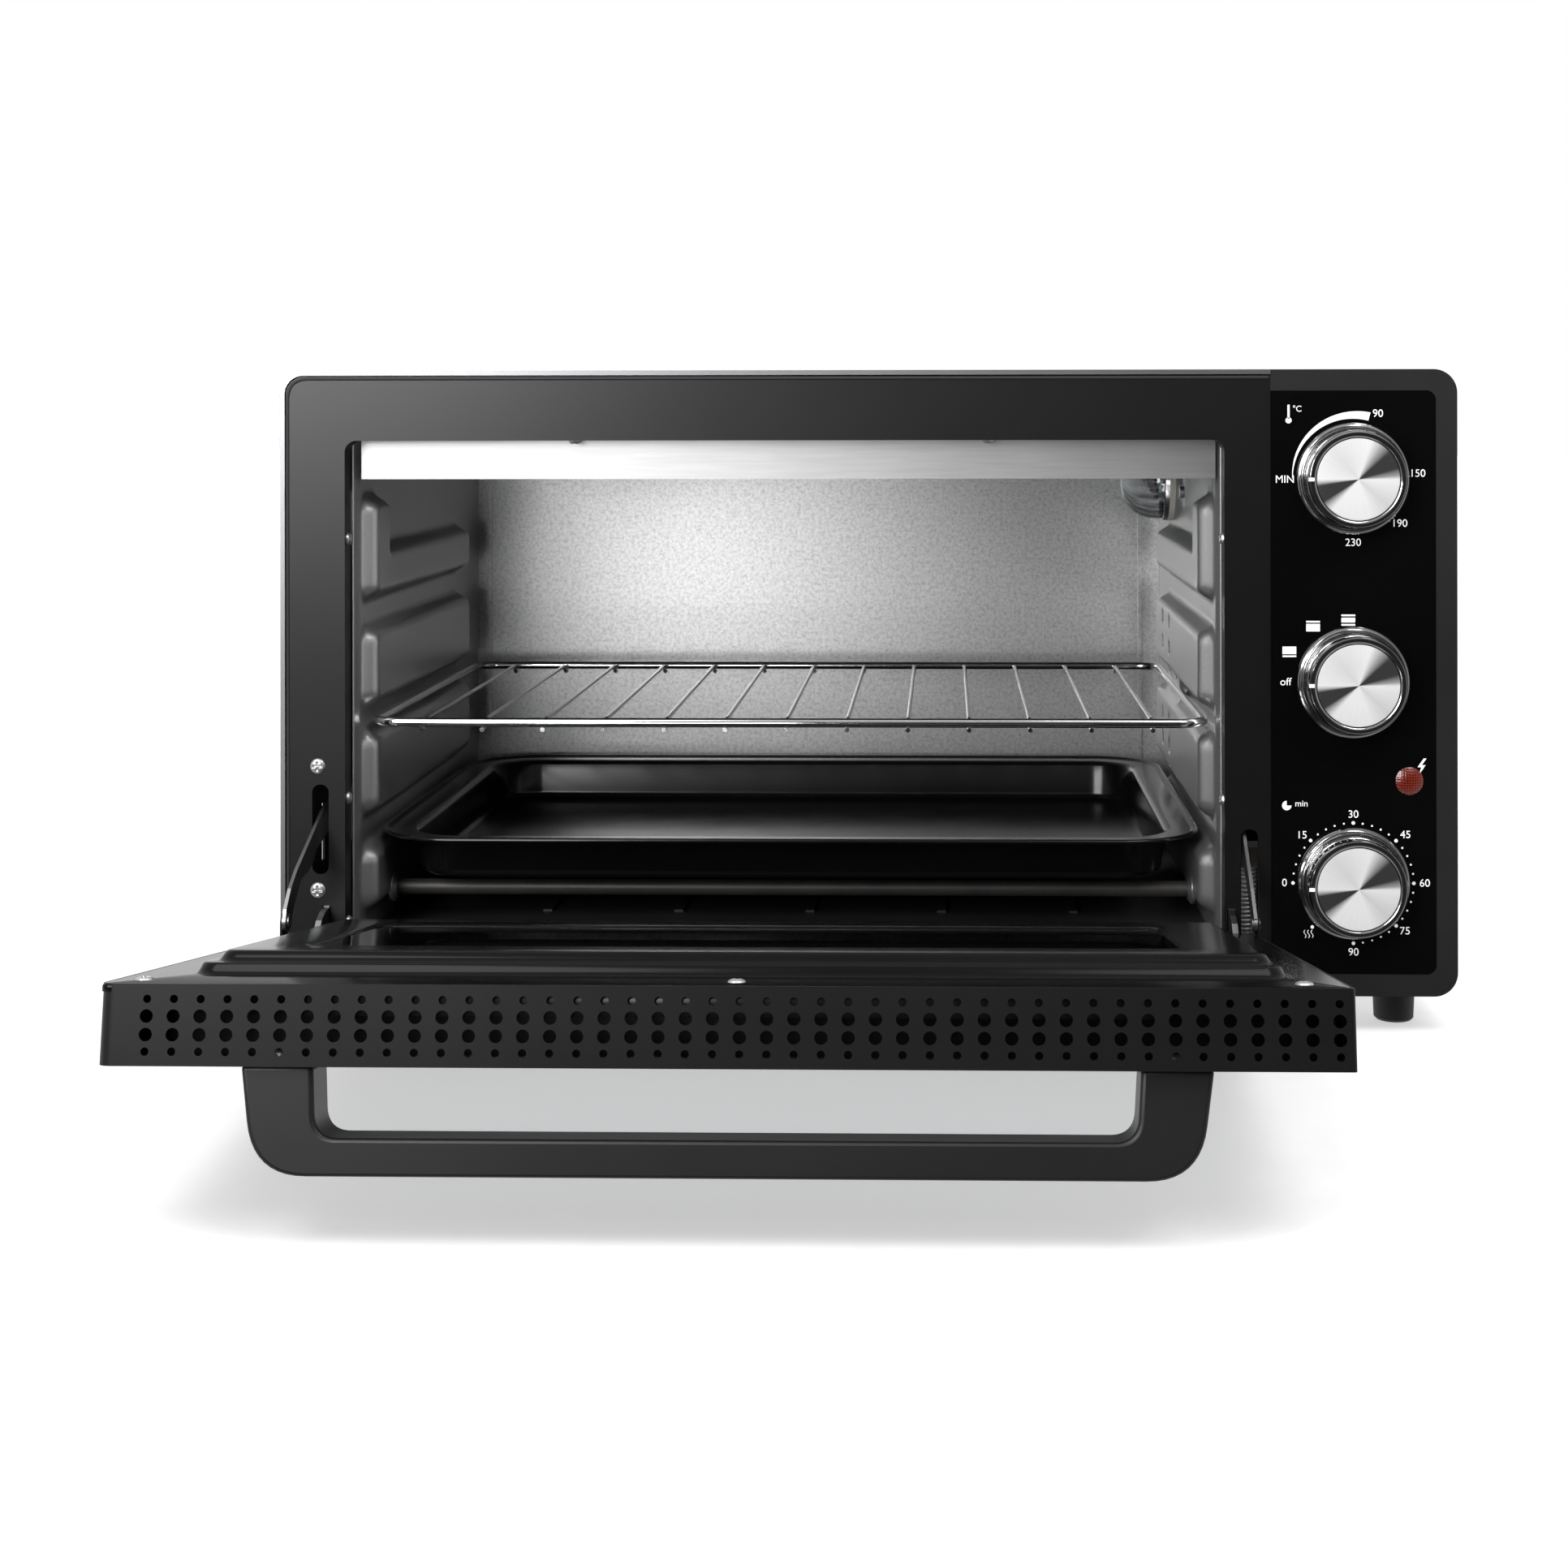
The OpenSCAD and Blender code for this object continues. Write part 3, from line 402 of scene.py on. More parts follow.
def rounded(x0, y0, x1, y1, r, n=8):
    """A rounded rectangle, counter-clockwise, n + 1 points to a corner."""
    out = []
    centres = [(x1 - r, y0 + r, -90), (x1 - r, y1 - r, 0), (x0 + r, y1 - r, 90), (x0 + r, y0 + r, 180)]
    for cx, cy, start in centres:
        for i in range(n + 1):
            a = math.radians(start + 90 * i / n)
            out.append((cx + r * math.cos(a), cy + r * math.sin(a)))
    return out


def bridge(bm, rings, closed=True):
    """Faces between successive rings of points; returns the rings' vertices."""
    made = [[bm.verts.new(p) for p in ring] for ring in rings]
    for a, b in zip(made, made[1:]):
        count = len(a)
        for i in range(count if closed else count - 1):
            j = (i + 1) % count
            bm.faces.new((a[i], a[j], b[j], b[i]))
    return made


def lathe(profile, steps=96):
    """Rings about Y from (radius, distance in front) pairs, in metres, with the ends closed."""
    bm = bmesh.new()
    rings = [[Vector((r * MM * math.cos(2 * math.pi * i / steps), -f * MM,
                      r * MM * math.sin(2 * math.pi * i / steps))) for i in range(steps)]
             for r, f in profile]
    made = bridge(bm, rings)
    bm.faces.new(made[0])
    bm.faces.new(made[-1])
    return bm


def fillet(points, r, n=6):
    """A polyline with its inner corners rounded to radius r."""
    out = [Vector(points[0])]
    for a, b, c in zip(points, points[1:], points[2:]):
        a, b, c = Vector(a), Vector(b), Vector(c)
        u, v = (a - b).normalized(), (c - b).normalized()
        half = u.angle(v) / 2
        reach = min(r / math.tan(half), (a - b).length * 0.49, (c - b).length * 0.49)
        p, q = b + u * reach, b + v * reach
        for i in range(n + 1):
            t = i / n
            out.append(p.lerp(b, t).lerp(b.lerp(q, t), t))
    out.append(Vector(points[-1]))
    return out


def tube(bm, path, r, sides=12, closed=False):
    """A round wire along a path in metres."""
    count = len(path)
    tangents = []
    for i in range(count):
        a = path[i - 1] if i or closed else path[i]
        b = path[(i + 1) % count] if i < count - 1 or closed else path[i]
        tangents.append((b - a).normalized())
    side = tangents[0].orthogonal().normalized()
    rings = []
    for p, t in zip(path, tangents):
        side = (side - t * side.dot(t)).normalized()
        up = t.cross(side)
        rings.append([p + (side * math.cos(2 * math.pi * k / sides)
                           + up * math.sin(2 * math.pi * k / sides)) * r for k in range(sides)])
    if closed:
        made = bridge(bm, rings)
        for k in range(sides):
            j = (k + 1) % sides
            bm.faces.new((made[-1][k], made[-1][j], made[0][j], made[0][k]))
    else:
        made = bridge(bm, rings)
        bm.faces.new(made[0])
        bm.faces.new(made[-1])


def step(t):
    t = min(1.0, max(0.0, t))
    return t * t * (3 - 2 * t)


# ---------------------------------------------------------------- cavity walls

PADS = [(45, 76.4), (86, 126.7), (133, 171.5), (180, 206)]
PAD_FRONT, PAD_BACK, PAD_R, SLOPE, EMBOSS = 15.0, 212.0, 9.0, 6.0, 6.9
COLUMN_BACK, COLUMN_TOP = 46.0, 228.0
RIB = 3.5                                              # height of the vented strip on the right wall
VENT_D, VENT_Z, VENT_HALF = (143.0, 174.0), (88.6, 100.7, 113, 136, 148.5, 161), 3.0


def inside_rect(d, z, x0, z0, x1, z1, r):
    """How far a point lies inside a rounded rectangle, negative outside."""
    qx = abs(d - (x0 + x1) / 2) - (x1 - x0) / 2 + r
    qz = abs(z - (z0 + z1) / 2) - (z1 - z0) / 2 + r
    return r - min(max(qx, qz), 0) - math.hypot(max(qx, 0), max(qz, 0))


def wall_height(d, z, right):
    best = 0.0
    for low, high in PADS:
        r = min(PAD_R, (high - low) / 2 - 0.5)
        best = max(best, step(inside_rect(d, z, PAD_FRONT, low, PAD_BACK, high, r) / SLOPE))
    best = max(best, step(inside_rect(d, z, PAD_FRONT, PADS[3][0], COLUMN_BACK, COLUMN_TOP, PAD_R) / SLOPE))
    height = EMBOSS * best
    if right:
        strip = step(inside_rect(d, z, 123, 82, 187, 168, 8) / 4)
        if height < RIB:
            height = height * (1 - strip) + RIB * strip
    return height


def grid_lines(low, high, pitch, extra=()):
    count = max(1, round((high - low) / pitch))
    lines = [low + (high - low) * i / count for i in range(count + 1)]
    for e in extra:
        lines = [v for v in lines if abs(v - e) > pitch * 0.45 or v in (low, high)] + [e]
    return sorted(set(lines))


def side_wall(name, body_x, sign, node, right):
    vents = [(d, z) for d in VENT_D for z in VENT_Z] if right else []
    ds = grid_lines(10.4, CAV_BACK, 1.6, [d + s for d, _ in vents[::6] for s in (-VENT_HALF, VENT_HALF)])
    zs = grid_lines(CAV_FLOOR, CAV_TOP, 1.6,
                    [z + s for _, z in vents[:6] for s in (-VENT_HALF, VENT_HALF)])
    bm = bmesh.new()
    grid = [[bm.verts.new(at(body_x + sign * (wall_height(d, z, right) - 1.8 * step((15 - d) / 4)), d, z))
             for z in zs] for d in ds]
    for i in range(len(ds) - 1):
        for k in range(len(zs) - 1):
            d, z = (ds[i] + ds[i + 1]) / 2, (zs[k] + zs[k + 1]) / 2
            if any(abs(d - hd) < VENT_HALF and abs(z - hz) < VENT_HALF for hd, hz in vents):
                continue
            if right and math.hypot(d - 196, z - 228) < 14:
                continue
            bm.faces.new((grid[i][k], grid[i + 1][k], grid[i + 1][k + 1], grid[i][k + 1]))
    obj = piece(name, bm, "cavity", "oven", [node], smooth=60)
    modifier(obj, "SOLIDIFY", thickness=0.5 * MM, offset=0.0)
    return obj


side_wall("cavity_left_sheet", CAV_L, 1, "cavity_left_wall", False)
side_wall("cavity_right_sheet", CAV_R, -1, "cavity_right_wall", True)

# steel collars where the heaters pass through the walls
bm = bmesh.new()
for x, sign in ((CAV_L, 1), (CAV_R, -1)):
    for d, z in ((48, 240), (160, 240), (48, 51), (190, 51)):
        height = wall_height(d, z, x > 0)
        centre = at(x + sign * height, d, z)
        profile = [(3.7, -1.0), (3.7, 1.6), (4.4, 2.0), (5.2, 1.4), (6.6, 0.5), (6.6, -1.0)]
        rings = [[centre + Vector((sign * f * MM, r * MM * math.cos(2 * math.pi * i / 32),
                                   r * MM * math.sin(2 * math.pi * i / 32))) for i in range(32)]
                 for r, f in profile]
        bridge(bm, rings + [rings[0]])
bmesh.ops.remove_doubles(bm, verts=bm.verts, dist=1e-7)
piece("heater_collars", bm, "zinc", "oven")

# ---------------------------------------------------------------- tray

TRAY = (-217.0, 13.0, 146.0, 250.0)
TRAY_Z = 79.5


def tray_ring(inset, drop, r):
    x0, d0, x1, d1 = TRAY
    return [at(x, d, TRAY_Z - drop) for x, d in
            rounded(x0 + inset, d0 + inset, x1 - inset, d1 - inset, r, 14)]


bm = bmesh.new()
outside = [(0.3, 2.2, 35.7), (0.0, 1.5, 36), (0.2, 0.8, 35.8), (0.9, 0.3, 35), (1.8, 0.4, 34.2),
           (2.8, 1.2, 33), (4.0, 1.3, 32), (11.5, 1.3, 25), (13.0, 1.5, 24), (14.4, 2.2, 23),
           (15.3, 3.4, 22), (16.6, 17.0, 21), (17.2, 18.8, 20), (18.4, 19.9, 19), (20.5, 20.4, 18),
           (34, 20.4, 14), (60, 20.4, 10)]
made = bridge(bm, [tray_ring(*p) for p in outside])
bm.faces.new(made[-1])
tray = piece("baking_tray_pressed", bm, "enamel", "tray", ["baking_tray"], smooth=70)
modifier(tray, "SOLIDIFY", thickness=0.6 * MM, offset=-1.0)

# ---------------------------------------------------------------- rack

RAIL_Z, RAIL_R, WIRE_R = 129.0, 2.0, 1.0
RACK = (-215.0, 15.5, 146.0, 234.0)
bm = bmesh.new()
tube(bm, [at(x, d, RAIL_Z) for x, d in rounded(*RACK, 12, 12)], RAIL_R * MM, 20, closed=True)
piece("rack_rails", bm, "chrome", "rack", ["rack_frame"], smooth=80)

bm = bmesh.new()
LOW = RAIL_Z - RAIL_R - WIRE_R
HIGH = RAIL_Z + 0.4
for i in range(13):
    x = -35 + (i - 6) * 26.35
    route = [(RACK[1] - 1, LOW), (RACK[1] + 3.4, LOW), (RACK[1] + 9, HIGH),
             (RACK[3] - 9, HIGH), (RACK[3] - 3.4, LOW), (RACK[3] + 1, LOW)]
    tube(bm, fillet([at(x, d, z) for d, z in route], 3 * MM), WIRE_R * MM, 12)
piece("rack_wires", bm, "chrome", "rack", ["rack_wire_set"], smooth=60)

# ---------------------------------------------------------------- door

def door_ring(x0, z0, x1, z1, r, height):
    return [at(x, DOOR_FACE + height, z) for x, z in rounded(x0, z0, x1, z1, r, 10)]


def inset_rings(box, r, profile):
    x0, z0, x1, z1 = box
    return [door_ring(x0 + i, z0 + i, x1 - i, z1 - i, max(1.0, r - i), h) for i, h in profile]


bm = bmesh.new()
rings = inset_rings((-234.9, 29.7, 161.9, 270.9), 3, [(0.0, -2.6), (0.0, -0.9), (0.3, -0.3), (0.9, 0.0)])
rings += inset_rings((-217, 70, 147, 241), 9, [(0.0, 0.0), (0.8, 0.25), (1.7, 1.6), (2.5, 3.2),
                                               (3.1, 3.7), (3.9, 3.8)])
rings += inset_rings((-211, 76, 143, 236), 8, [(0.0, 3.85), (0.8, 4.1), (1.8, 5.4), (2.8, 6.8),
                                               (3.6, 7.3), (4.6, 7.4)])
rings += inset_rings((-188.6, 107, 117.4, 212), 8, [(0.0, 7.4), (1.4, 7.2), (2.4, 6.9), (3.0, 6.65)])
bridge(bm, rings)
panel = piece("door_panel_pressed", bm, "panel", "door", ["door_inner_panel"],
              smooth=50, place=SWING)
modifier(panel, "SOLIDIFY", thickness=0.3 * MM, offset=-1.0)

# a bent strip that backs the vents along the middle of the free edge
bm = bmesh.new()
profile = [(DOOR_FACE - 1.0, 269.8), (DOOR_FACE - 9.6, 269.8), (DOOR_FACE - 9.6, 261.0),
           (DOOR_FACE - 5.0, 261.0)]
rings = [[at(x, d, z) for d, z in profile] for x in (-171.0, 100.0)]
bridge(bm, rings, closed=False)
strip = piece("door_channel", bm, "door", "door", place=SWING)
modifier(strip, "SOLIDIFY", thickness=0.5 * MM, offset=0.0)

# and a black plate across the door, deeper in, so that the glass is not lit through the vents: it casts real
# shadow, and its black is painted shade for the inside of the door behind them
bm = bmesh.new()
bridge(bm, [[at(x, d, z) for d, z in ((DOOR_FACE - 1.6, 249.5), (DOOR_FACE - 1.6, 251.0),
                                      (DOOR_OUT + 1.4, 251.0), (DOOR_OUT + 1.4, 249.5))]
            for x in (-232.0, 159.0)], closed=False)
baffle = piece("door_baffle", bm, "rubber", "door", place=SWING)
modifier(baffle, "SOLIDIFY", thickness=0.4 * MM, offset=0.0)

# the grip: a flat bow with soft edges that narrows a little on its way out
HANDLE = (-190.0, 118.0)
OUT, GRIP, TAPER = 34.0, 11.7, 5.0


def bow(inner):
    """Half of the handle's outline as (x, distance out of the door)."""
    x0, x1 = HANDLE
    if inner:
        x0, x1, out, r, taper = x0 + 23, x1 - 23, OUT - GRIP, 8.0, 1.5
    else:
        out, r, taper = OUT, 21.0, TAPER
    left = [Vector((x0, 0.02, 0)), Vector((x0 + taper, out, 0)), Vector(((x0 + x1) / 2, out, 0))]
    right = [Vector((x0 + x1, 0, 0)) - Vector((p.x, -p.y, 0)) for p in left]
    half_left, half_right = fillet(left, r, 10), fillet(right, r, 10)
    return half_left + half_right[::-1][1:]


outer, inner = bow(False), bow(True)
bm = bmesh.new()
loop = [bm.verts.new(at(p.x, DOOR_OUT - p.y, 267.0)) for p in outer + inner[::-1]]
n_out = len(outer)
faces = []
for i in range(n_out - 1):
    j = len(loop) - 1 - i
    faces.append(bm.faces.new((loop[i], loop[i + 1], loop[j - 1], loop[j])))
grown = bmesh.ops.extrude_face_region(bm, geom=faces)
bmesh.ops.translate(bm, vec=Vector((0, 0, -18 * MM)),
                    verts=[v for v in grown["geom"] if isinstance(v, bmesh.types.BMVert)])
grip = piece("door_grip", bm, "handle", "door", ["door_handle"],
                     smooth=50, place=SWING)
modifier(grip, "BEVEL", width=1.5 * MM, segments=4, limit_method="ANGLE",
         angle_limit=math.radians(55), use_clamp_overlap=False)

# ---------------------------------------------------------------- knobs

SKIRT = [(0.0, 0.6), (23.0, 0.6), (23.5, 0.8), (23.6, 1.2), (23.55, 1.9), (23.2, 2.4), (22.6, 2.6),
         (22.25, 2.45), (22.1, 2.1), (21.9, 2.1), (21.75, 2.6), (21.45, 2.95), (21.1, 2.9),
         (20.95, 2.6), (20.9, 3.2), (20.8, 6.0), (20.65, 12.0), (20.5, 13.2), (20.1, 13.8),
         (19.5, 14.0), (18.2, 13.95), (17.8, 13.7), (17.6, 13.2), (0.0, 13.2)]
DISC = [(0.0, 12.9), (17.2, 12.9), (17.2, 13.4), (17.0, 13.75), (16.7, 13.85), (8.0, 13.75), (0.3, 13.7)]
for name, z in KNOB_Z.items():
    origin = at(KNOB_X, 0, z)
    body = f"{name}_dial"
    bm = lathe([(max(r, 0.05), f) for r, f in SKIRT], 128)
    piece(f"{name}_knob_turned", bm, "knob", body, [f"{name}_knob"], smooth=30,
          place=Matrix.Translation(origin), origin=origin)
    bm = lathe([(max(r, 0.05), f) for r, f in DISC], 128)
    piece(f"{name}_knob_disc", bm, "spun", body, [f"{name}_knob_face"], smooth=30,
          place=Matrix.Translation(origin), origin=origin)
    bm = bmesh.new()
    bmesh.ops.create_cube(bm, size=1.0, matrix=Matrix.Translation(at(KNOB_X - 19.6, -14.05, z))
                          @ Matrix.Diagonal((2.4 * MM, 0.3 * MM, 1.5 * MM, 1)))
    mark = piece(f"{name}_pointer", bm, "print", body, smooth=30)
    modifier(mark, "BEVEL", width=0.12 * MM, segments=2)

# ---------------------------------------------------------------- spring

bm = bmesh.new()
TURNS, COIL_R, LOW_Z, TALL = 17, 4.1, 37.4, 31.0
path = []
for i in range(TURNS * 20 + 1):
    a = 2 * math.pi * i / 20
    path.append(at(162.6 + COIL_R * math.cos(a), 13 + COIL_R * math.sin(a), LOW_Z + TALL * i / (TURNS * 20)))
tube(bm, path, 0.5 * MM, 10)
piece("door_spring_coil", bm, "spring", "oven", ["door_spring"], smooth=60)

# ---------------------------------------------------------------- painted shade: a black bead along the front frame's left and top edges, for the shadow gap between cover and frame

bm = bmesh.new()
edge = [(-246.8, 17.8), (-246.8, 277.6), (170.6, 277.6)]
tube(bm, fillet([at(x, 0.2, z) for x, z in edge], 9 * MM, 10), 0.75 * MM, 10)
piece("frame_shadow_line_bead", bm, "rubber", "oven", smooth=80)

# ---------------------------------------------------------------- screws


def screw_head(bm, centre, axis, r, h, place=None):
    """A pan head with a cross recess; axis points out of the head."""
    rings_n, steps = 13, 56
    turn = Vector((0, 0, 1)).rotation_difference(axis).to_matrix().to_4x4()
    to_world = Matrix.Translation(centre) @ turn
    rings = []
    for i in range(rings_n + 1):
        rr = r * i / rings_n if i else r * 0.01
        ring = []
        for k in range(steps):
            a = 2 * math.pi * k / steps
            x, y = rr * math.cos(a), rr * math.sin(a)
            dome = h * math.sqrt(max(0.0, 1 - (rr / r) ** 2.6))
            arm = min(abs(x), abs(y)) - r * 0.13
            reach = max(abs(x), abs(y)) - r * 0.58
            cut = step(-max(arm, reach * 0.7) / (r * 0.10) + 0.5)
            ring.append(to_world @ Vector((x * MM, y * MM, (dome - cut * h * 0.7) * MM)))
        rings.append(ring)
    made = bridge(bm, rings)
    bm.faces.new(made[0])
    if place is not None:
        for ring in made:
            for v in ring:
                v.co = place @ v.co


FRONTWARD, RIGHT, UP = Vector((0, -1, 0)), Vector((1, 0, 0)), Vector((0, 0, 1))
bm = bmesh.new()
for z in (59.4, 112.3):
    screw_head(bm, at(-234.1, 0, z), FRONTWARD, 3.3, 1.3)
for z in (45, 98, 209):
    screw_head(bm, at(-222.4, 5.2, z), RIGHT, 2.6, 1.6)
for z in (98, 209):
    screw_head(bm, at(151.9, 5.2, z), -RIGHT, 2.6, 1.6)
for x in (-124.6, 52.4):
    screw_head(bm, at(x, 5.2, 251.2), -UP, 2.6, 1.6)
piece("frame_screw_heads", bm, "zinc", "oven", ["frame_screws"], smooth=50)
bm = bmesh.new()
for x in (-225, -33.5, 148):
    screw_head(bm, at(x, DOOR_FACE, 258), -FRONTWARD, 3.0, 1.1, SWING)
piece("door_screw_heads", bm, "zinc", "door", ["door_screws"], smooth=50)

# ---------------------------------------------------------------- lamp

bm = bmesh.new()
RIBS = 20
rings = []
for f, r in ((0, 18.6), (2, 19.0), (6, 19.0), (9, 18.8), (13, 17.8), (17, 15.6), (20, 12.4), (22, 8.4),
             (23.2, 4.0), (23.5, 0.4)):
    ring = []
    for i in range(RIBS * 6):
        a = 2 * math.pi * i / (RIBS * 6)
        rr = r * (1 + 0.018 * math.cos(RIBS * a) * min(1.0, r / 10))
        ring.append(at(CAV_R - 3 - f, 196 + rr * math.cos(a), 228 + rr * math.sin(a)))
    rings.append(ring)
made = bridge(bm, rings)
bm.faces.new(made[-1])
bulb = piece("lamp_jar", bm, "lamp", "oven", ["lamp_glass"], smooth=60)
modifier(bulb, "SOLIDIFY", thickness=1.2 * MM, offset=-1.0)
bm = bmesh.new()
rings = []
for f, r in ((0, 20.4), (2.2, 20.4), (2.6, 20.0), (2.6, 19.2), (0, 19.2)):
    rings.append([at(CAV_R - 3 - f, 196 + r * math.cos(2 * math.pi * i / 64),
                     228 + r * math.sin(2 * math.pi * i / 64)) for i in range(64)])
bridge(bm, rings + [rings[0]])
bmesh.ops.remove_doubles(bm, verts=bm.verts, dist=1e-7)
piece("lamp_ring", bm, "chrome", "oven", smooth=30)

# ---------------------------------------------------------------- dial prints

PRINT_D = -0.26


def text(bm, words, x, z, height):
    curve = bpy.data.curves.new("print_text", "FONT")
    curve.body = words
    curve.align_x, curve.align_y = "CENTER", "CENTER"
    curve.size = height * 1.38 * MM
    curve.extrude = 0.02 * MM
    obj = bpy.data.objects.new("print_text", curve)
    bpy.context.scene.collection.objects.link(obj)
    bpy.context.view_layer.update()
    mesh = bpy.data.meshes.new_from_object(obj.evaluated_get(bpy.context.evaluated_depsgraph_get()))
    mesh.transform(Matrix.Translation(at(x, PRINT_D, z)) @ Matrix.Rotation(math.radians(90), 4, "X"))
    bm.from_mesh(mesh)
    bpy.data.objects.remove(obj)
    bpy.data.curves.remove(curve)
    bpy.data.meshes.remove(mesh)


def flat(bm, outline):
    """A thin raised shape on the fascia from (x, z) points."""
    front = [bm.verts.new(at(x, PRINT_D - 0.02, z)) for x, z in outline]
    back = [bm.verts.new(at(x, PRINT_D + 0.04, z)) for x, z in outline]
    bm.faces.new(front)
    bm.faces.new(back[::-1])
    n = len(front)
    for i in range(n):
        bm.faces.new((front[i], front[(i + 1) % n], back[(i + 1) % n], back[i]))


def dot(bm, x, z, r):
    flat(bm, [(x + r * math.cos(a), z + r * math.sin(a))
              for a in (2 * math.pi * i / 16 for i in range(16))])


def block(bm, x, z, w, h):
    flat(bm, [(x - w / 2, z - h / 2), (x + w / 2, z - h / 2), (x + w / 2, z + h / 2), (x - w / 2, z + h / 2)])


bm = bmesh.new()
T, S, M = KNOB_Z["thermostat"], KNOB_Z["selector"], KNOB_Z["timer"]
SIZE = 3.3
# thermostat: a band that thickens clockwise from the left over the top
band = []
INNER_R = 25.3
for i in range(49):
    a = math.radians(180 - 105 * i / 48)
    band.append((KNOB_X + INNER_R * math.cos(a), T + INNER_R * math.sin(a)))
for i in range(48, -1, -1):
    a = math.radians(180 - 105 * i / 48)
    r = INNER_R + 0.15 + 3.4 * i / 48
    band.append((KNOB_X + r * math.cos(a), T + r * math.sin(a)))
half = len(band) // 2
for i in range(half - 1):
    flat(bm, [band[i], band[i + 1], band[-2 - i], band[-1 - i]])
for words, dx, dz in (("MIN", -28.6, -0.4), ("90", 10.6, 27.4), ("150", 27.2, 2.1), ("190", 19.6, -19.0),
                      ("230", 0.1, -23.9 - 3.2)):
    text(bm, words, KNOB_X + dx, T + dz, SIZE)
# thermometer and degree sign
block(bm, 179.0, 263.0, 0.9, 6.0)
dot(bm, 179.0, 259.4, 1.3)
text(bm, "°C", 182.6, 264.2, 2.6)
# selector: the word and three oven signs
text(bm, "off", KNOB_X - 28.4, S, SIZE)
for x, z, bars in ((179.2, 162.2, (-1,)), (189.2, 171.8, (1,)), (204.0, 175.0, (-1, 1))):
    block(bm, x, z, 5.8, 3.2 if len(bars) == 1 else 2.0)
    for side in (1,) if bars == (1,) else (-1,) if bars == (-1,) else (1, -1):
        block(bm, x, z + side * (2.5 if len(bars) == 1 else 2.0), 5.8, 0.7)
# timer: dots, numbers, clock and stay-on signs
for i in range(31):
    a = math.radians(180 - 9 * i)
    dot(bm, KNOB_X + 25.4 * math.cos(a), M + 25.4 * math.sin(a), 0.75 if i % 5 == 0 else 0.42)
for words, degrees, r in (("0", 180, 29.0), ("15", 137, 29.6), ("30", 90, 29.0), ("45", 43, 30.0),
                          ("60", 0, 30.0), ("75", -43, 29.6), ("90", -90, 29.2)):
    a = math.radians(degrees)
    text(bm, words, KNOB_X + r * math.cos(a), M + r * math.sin(a), SIZE)
a0 = math.radians(-133)
dot(bm, KNOB_X + 25.4 * math.cos(a0), M + 25.4 * math.sin(a0), 0.75)
for k in range(3):
    x = KNOB_X - 20.4 + k * 1.5
    wave = [(x + 0.45 * math.sin(t / 8 * 2 * math.pi), M - 23.2 + t * 0.42) for t in range(9)]
    for (xa, za), (xb, zb) in zip(wave, wave[1:]):
        flat(bm, [(xa - 0.16, za), (xa + 0.16, za), (xb + 0.16, zb), (xb - 0.16, zb)])
pie = [(178.0, 96.6)] + [(178.0 + 2.0 * math.cos(math.radians(a)), 96.6 + 2.0 * math.sin(math.radians(a)))
                         for a in range(90, 361, 15)]
flat(bm, pie)
text(bm, "min", 184.2, 97.4, 2.7)
# lightning sign over the lamp
flat(bm, [(235.6, 116.6), (233.0, 112.9), (234.6, 112.9), (233.6, 109.6), (236.4, 113.8),
          (234.8, 113.8), (236.8, 116.6)])
piece("dial_prints", bm, "print", "oven", smooth=30)

# ---------------------------------------------------------------- edges of carried-over nodes

for name, width in (("front_frame", 0.5), ("control_bezel", 0.8), ("outer_cover", 0.5), ("feet", 0.4),
                    ("left_arm", 0.2), ("right_arm", 0.2), ("door_shell", 0.3), ("top_deflector", 0.2)):
    modifier(nodes[name], "BEVEL", width=width * MM, segments=2, limit_method="ANGLE",
             angle_limit=math.radians(50), use_clamp_overlap=True)

# ---------------------------------------------------------------- floor, light and camera

bm = bmesh.new()
bmesh.ops.create_grid(bm, x_segments=1, y_segments=1, size=12.0)
mesh = bpy.data.meshes.new("floor")
bm.to_mesh(mesh)
bm.free()
floor = bpy.data.objects.new("floor", mesh)
bpy.context.scene.collection.objects.link(floor)
ground = surface("floor_look", grey(0.78), grey(0.80), (0.75, 0.85), grain=60, grain_depth=0.02)
tree = ground.node_tree
reach = tree.nodes.new("ShaderNodeVectorMath")
reach.operation = "LENGTH"
tree.links.new(object_coords(tree), reach.inputs[0])
floor_painted_glow = tree.nodes.new("ShaderNodeMapRange")                # painted light: the floor glows less near the oven and more further out
floor_painted_glow.inputs["From Min"].default_value = 0.50
floor_painted_glow.inputs["From Max"].default_value = 1.20
floor_painted_glow.inputs["To Min"].default_value = 0.52
floor_painted_glow.inputs["To Max"].default_value = 1.05
tree.links.new(reach.outputs["Value"], floor_painted_glow.inputs["Value"])
tree.nodes["Principled BSDF"].inputs["Emission Color"].default_value = (1, 1, 1, 1)
tree.links.new(floor_painted_glow.outputs["Result"], tree.nodes["Principled BSDF"].inputs["Emission Strength"])
mesh.materials.append(ground)
floor.visible_glossy = False


def softbox(name, place, target, size, power, tone=(1, 1, 1)):
    light = bpy.data.lights.new(name, "AREA")
    light.shape = "RECTANGLE"
    light.size, light.size_y = size
    light.energy = power
    light.color = tone
    obj = bpy.data.objects.new(name, light)
    bpy.context.scene.collection.objects.link(obj)
    obj.location = place
    obj.rotation_euler = (Vector(target) - Vector(place)).to_track_quat("-Z", "Y").to_euler()
    return obj


key = softbox("key_left", (-0.66, -1.20, 0.62), (-0.05, 0.1, 0.14), (0.6, 0.7), 19)
softbox("overhead_left", (-0.55, -0.70, 1.2), (0.0, -0.10, 0.0), (0.6, 0.6), 6.5)
softbox("overhead_right", (0.55, -0.70, 1.2), (0.0, -0.10, 0.0), (0.6, 0.6), 6.0)

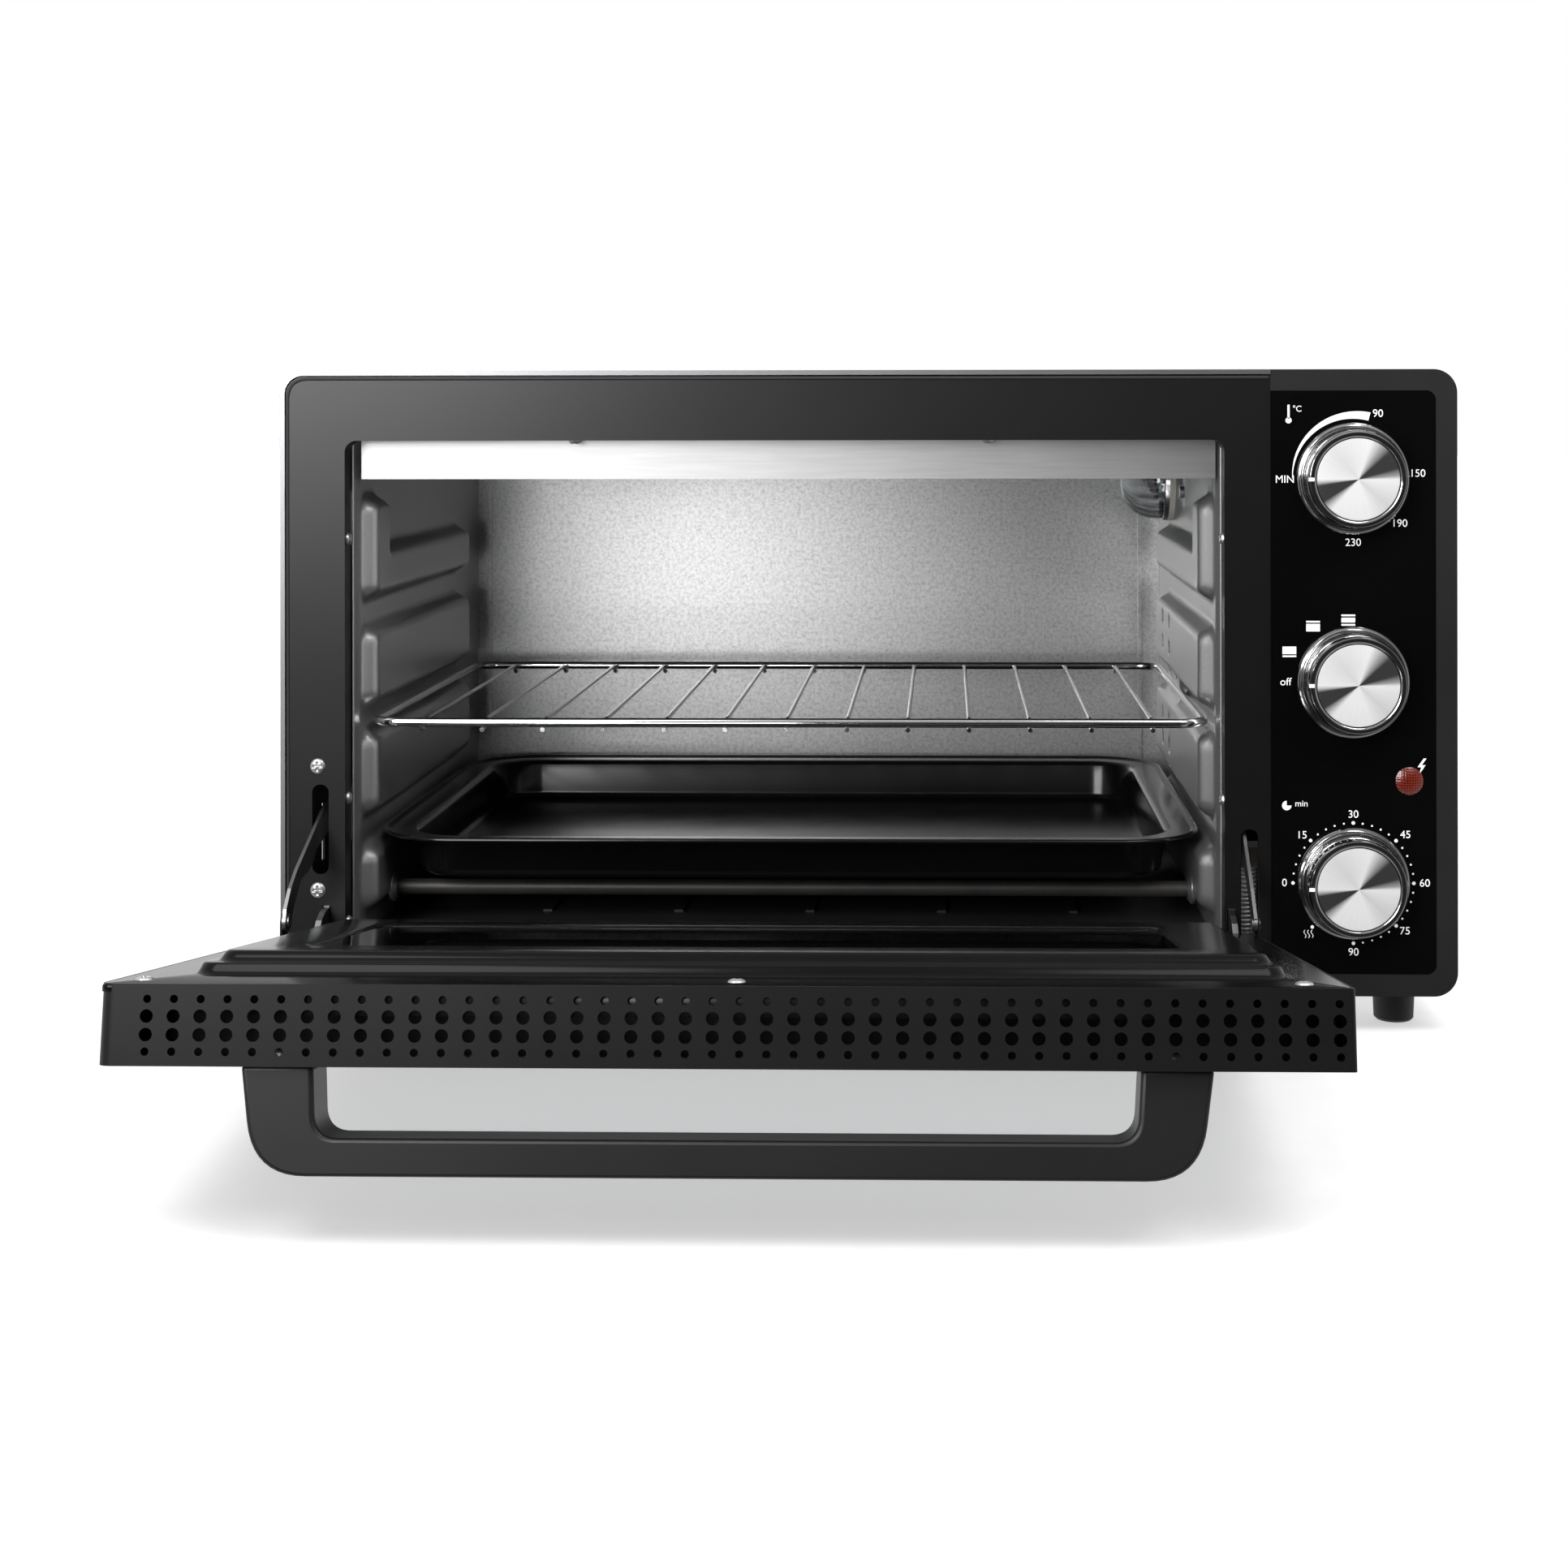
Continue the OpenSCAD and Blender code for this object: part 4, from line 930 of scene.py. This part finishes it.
# the bare metal inside has a card of its own, low in front, which the black finishes do not mirror
bare = bpy.data.collections.new("bare_metal")
for name in ("cavity_left_sheet", "cavity_right_sheet", "cavity_back_wall", "cavity_ceiling",
             "top_deflector", "rack_rails", "rack_wires", "heater_collars", "door_spring_coil"):
    bare.objects.link(bpy.data.objects[name])
card = softbox("card_front", (-0.25, -1.30, 0.12), (-0.06, 0.26, 0.16), (0.26, 0.30), 2.2)
card.light_linking.receiver_collection = bare

# and the floor keeps clear of the key, so its shadow falls straight down
clear = bpy.data.collections.new("key_lit")
for obj in bpy.context.scene.objects:
    if obj.type == "MESH" and obj is not floor:
        clear.objects.link(obj)
key.light_linking.receiver_collection = clear

world = bpy.data.worlds.new("studio")
bpy.context.scene.world = world
world.use_nodes = True
tree = world.node_tree
back = tree.nodes["Background"]
tc = tree.nodes.new("ShaderNodeTexCoord")
sep = tree.nodes.new("ShaderNodeSeparateXYZ")
tree.links.new(tc.outputs["Generated"], sep.inputs["Vector"])
side = ramp(tree, sep.outputs["Y"], [(0.0, grey(0.02)), (0.05, grey(0.02)), (0.45, grey(0.8)),
                                     (1.0, grey(1.0))])
turned = tree.nodes.new("ShaderNodeMapRange")
turned.inputs["From Min"].default_value = -1.0
tree.links.new(sep.outputs["Y"], turned.inputs["Value"])
tree.links.new(turned.outputs["Result"], side.node.inputs["Fac"])
above = ramp(tree, sep.outputs["Z"], [(0.15, grey(0.0)), (0.7, grey(0.5))])
lift = tree.nodes.new("ShaderNodeMix")
lift.data_type = "RGBA"
lift.blend_type = "LIGHTEN"
lift.inputs["Factor"].default_value = 1.0
tree.links.new(side, lift.inputs["A"])
tree.links.new(above, lift.inputs["B"])
rays = tree.nodes.new("ShaderNodeLightPath")
seen = tree.nodes.new("ShaderNodeMix")
seen.data_type = "RGBA"
seen.inputs["B"].default_value = (1, 1, 1, 1)
tree.links.new(rays.outputs["Is Camera Ray"], seen.inputs["Factor"])
tree.links.new(lift.outputs["Result"], seen.inputs["A"])
tree.links.new(seen.outputs["Result"], back.inputs["Color"])
back.inputs["Strength"].default_value = 1.0

CAMERA = Vector((32.8 * MM, FRONT - 948.8 * MM, 263.5 * MM))
cam = bpy.data.cameras.new("camera")
cam.sensor_width = 36.0
cam.lens = 51.336
cam.shift_x = -0.068996
cam.shift_y = -0.237733
cam.clip_start, cam.clip_end = 0.05, 50
camera = bpy.data.objects.new("camera", cam)
bpy.context.scene.collection.objects.link(camera)
camera.matrix_world = (Matrix.Translation(CAMERA) @ Matrix.Rotation(math.radians(1.29), 4, "Z")
                       @ Matrix.Rotation(math.radians(90), 4, "X")
                       @ Matrix.Rotation(math.radians(-0.082), 4, "Z"))
bpy.context.scene.camera = camera
bpy.context.scene.view_settings.view_transform = "Standard"
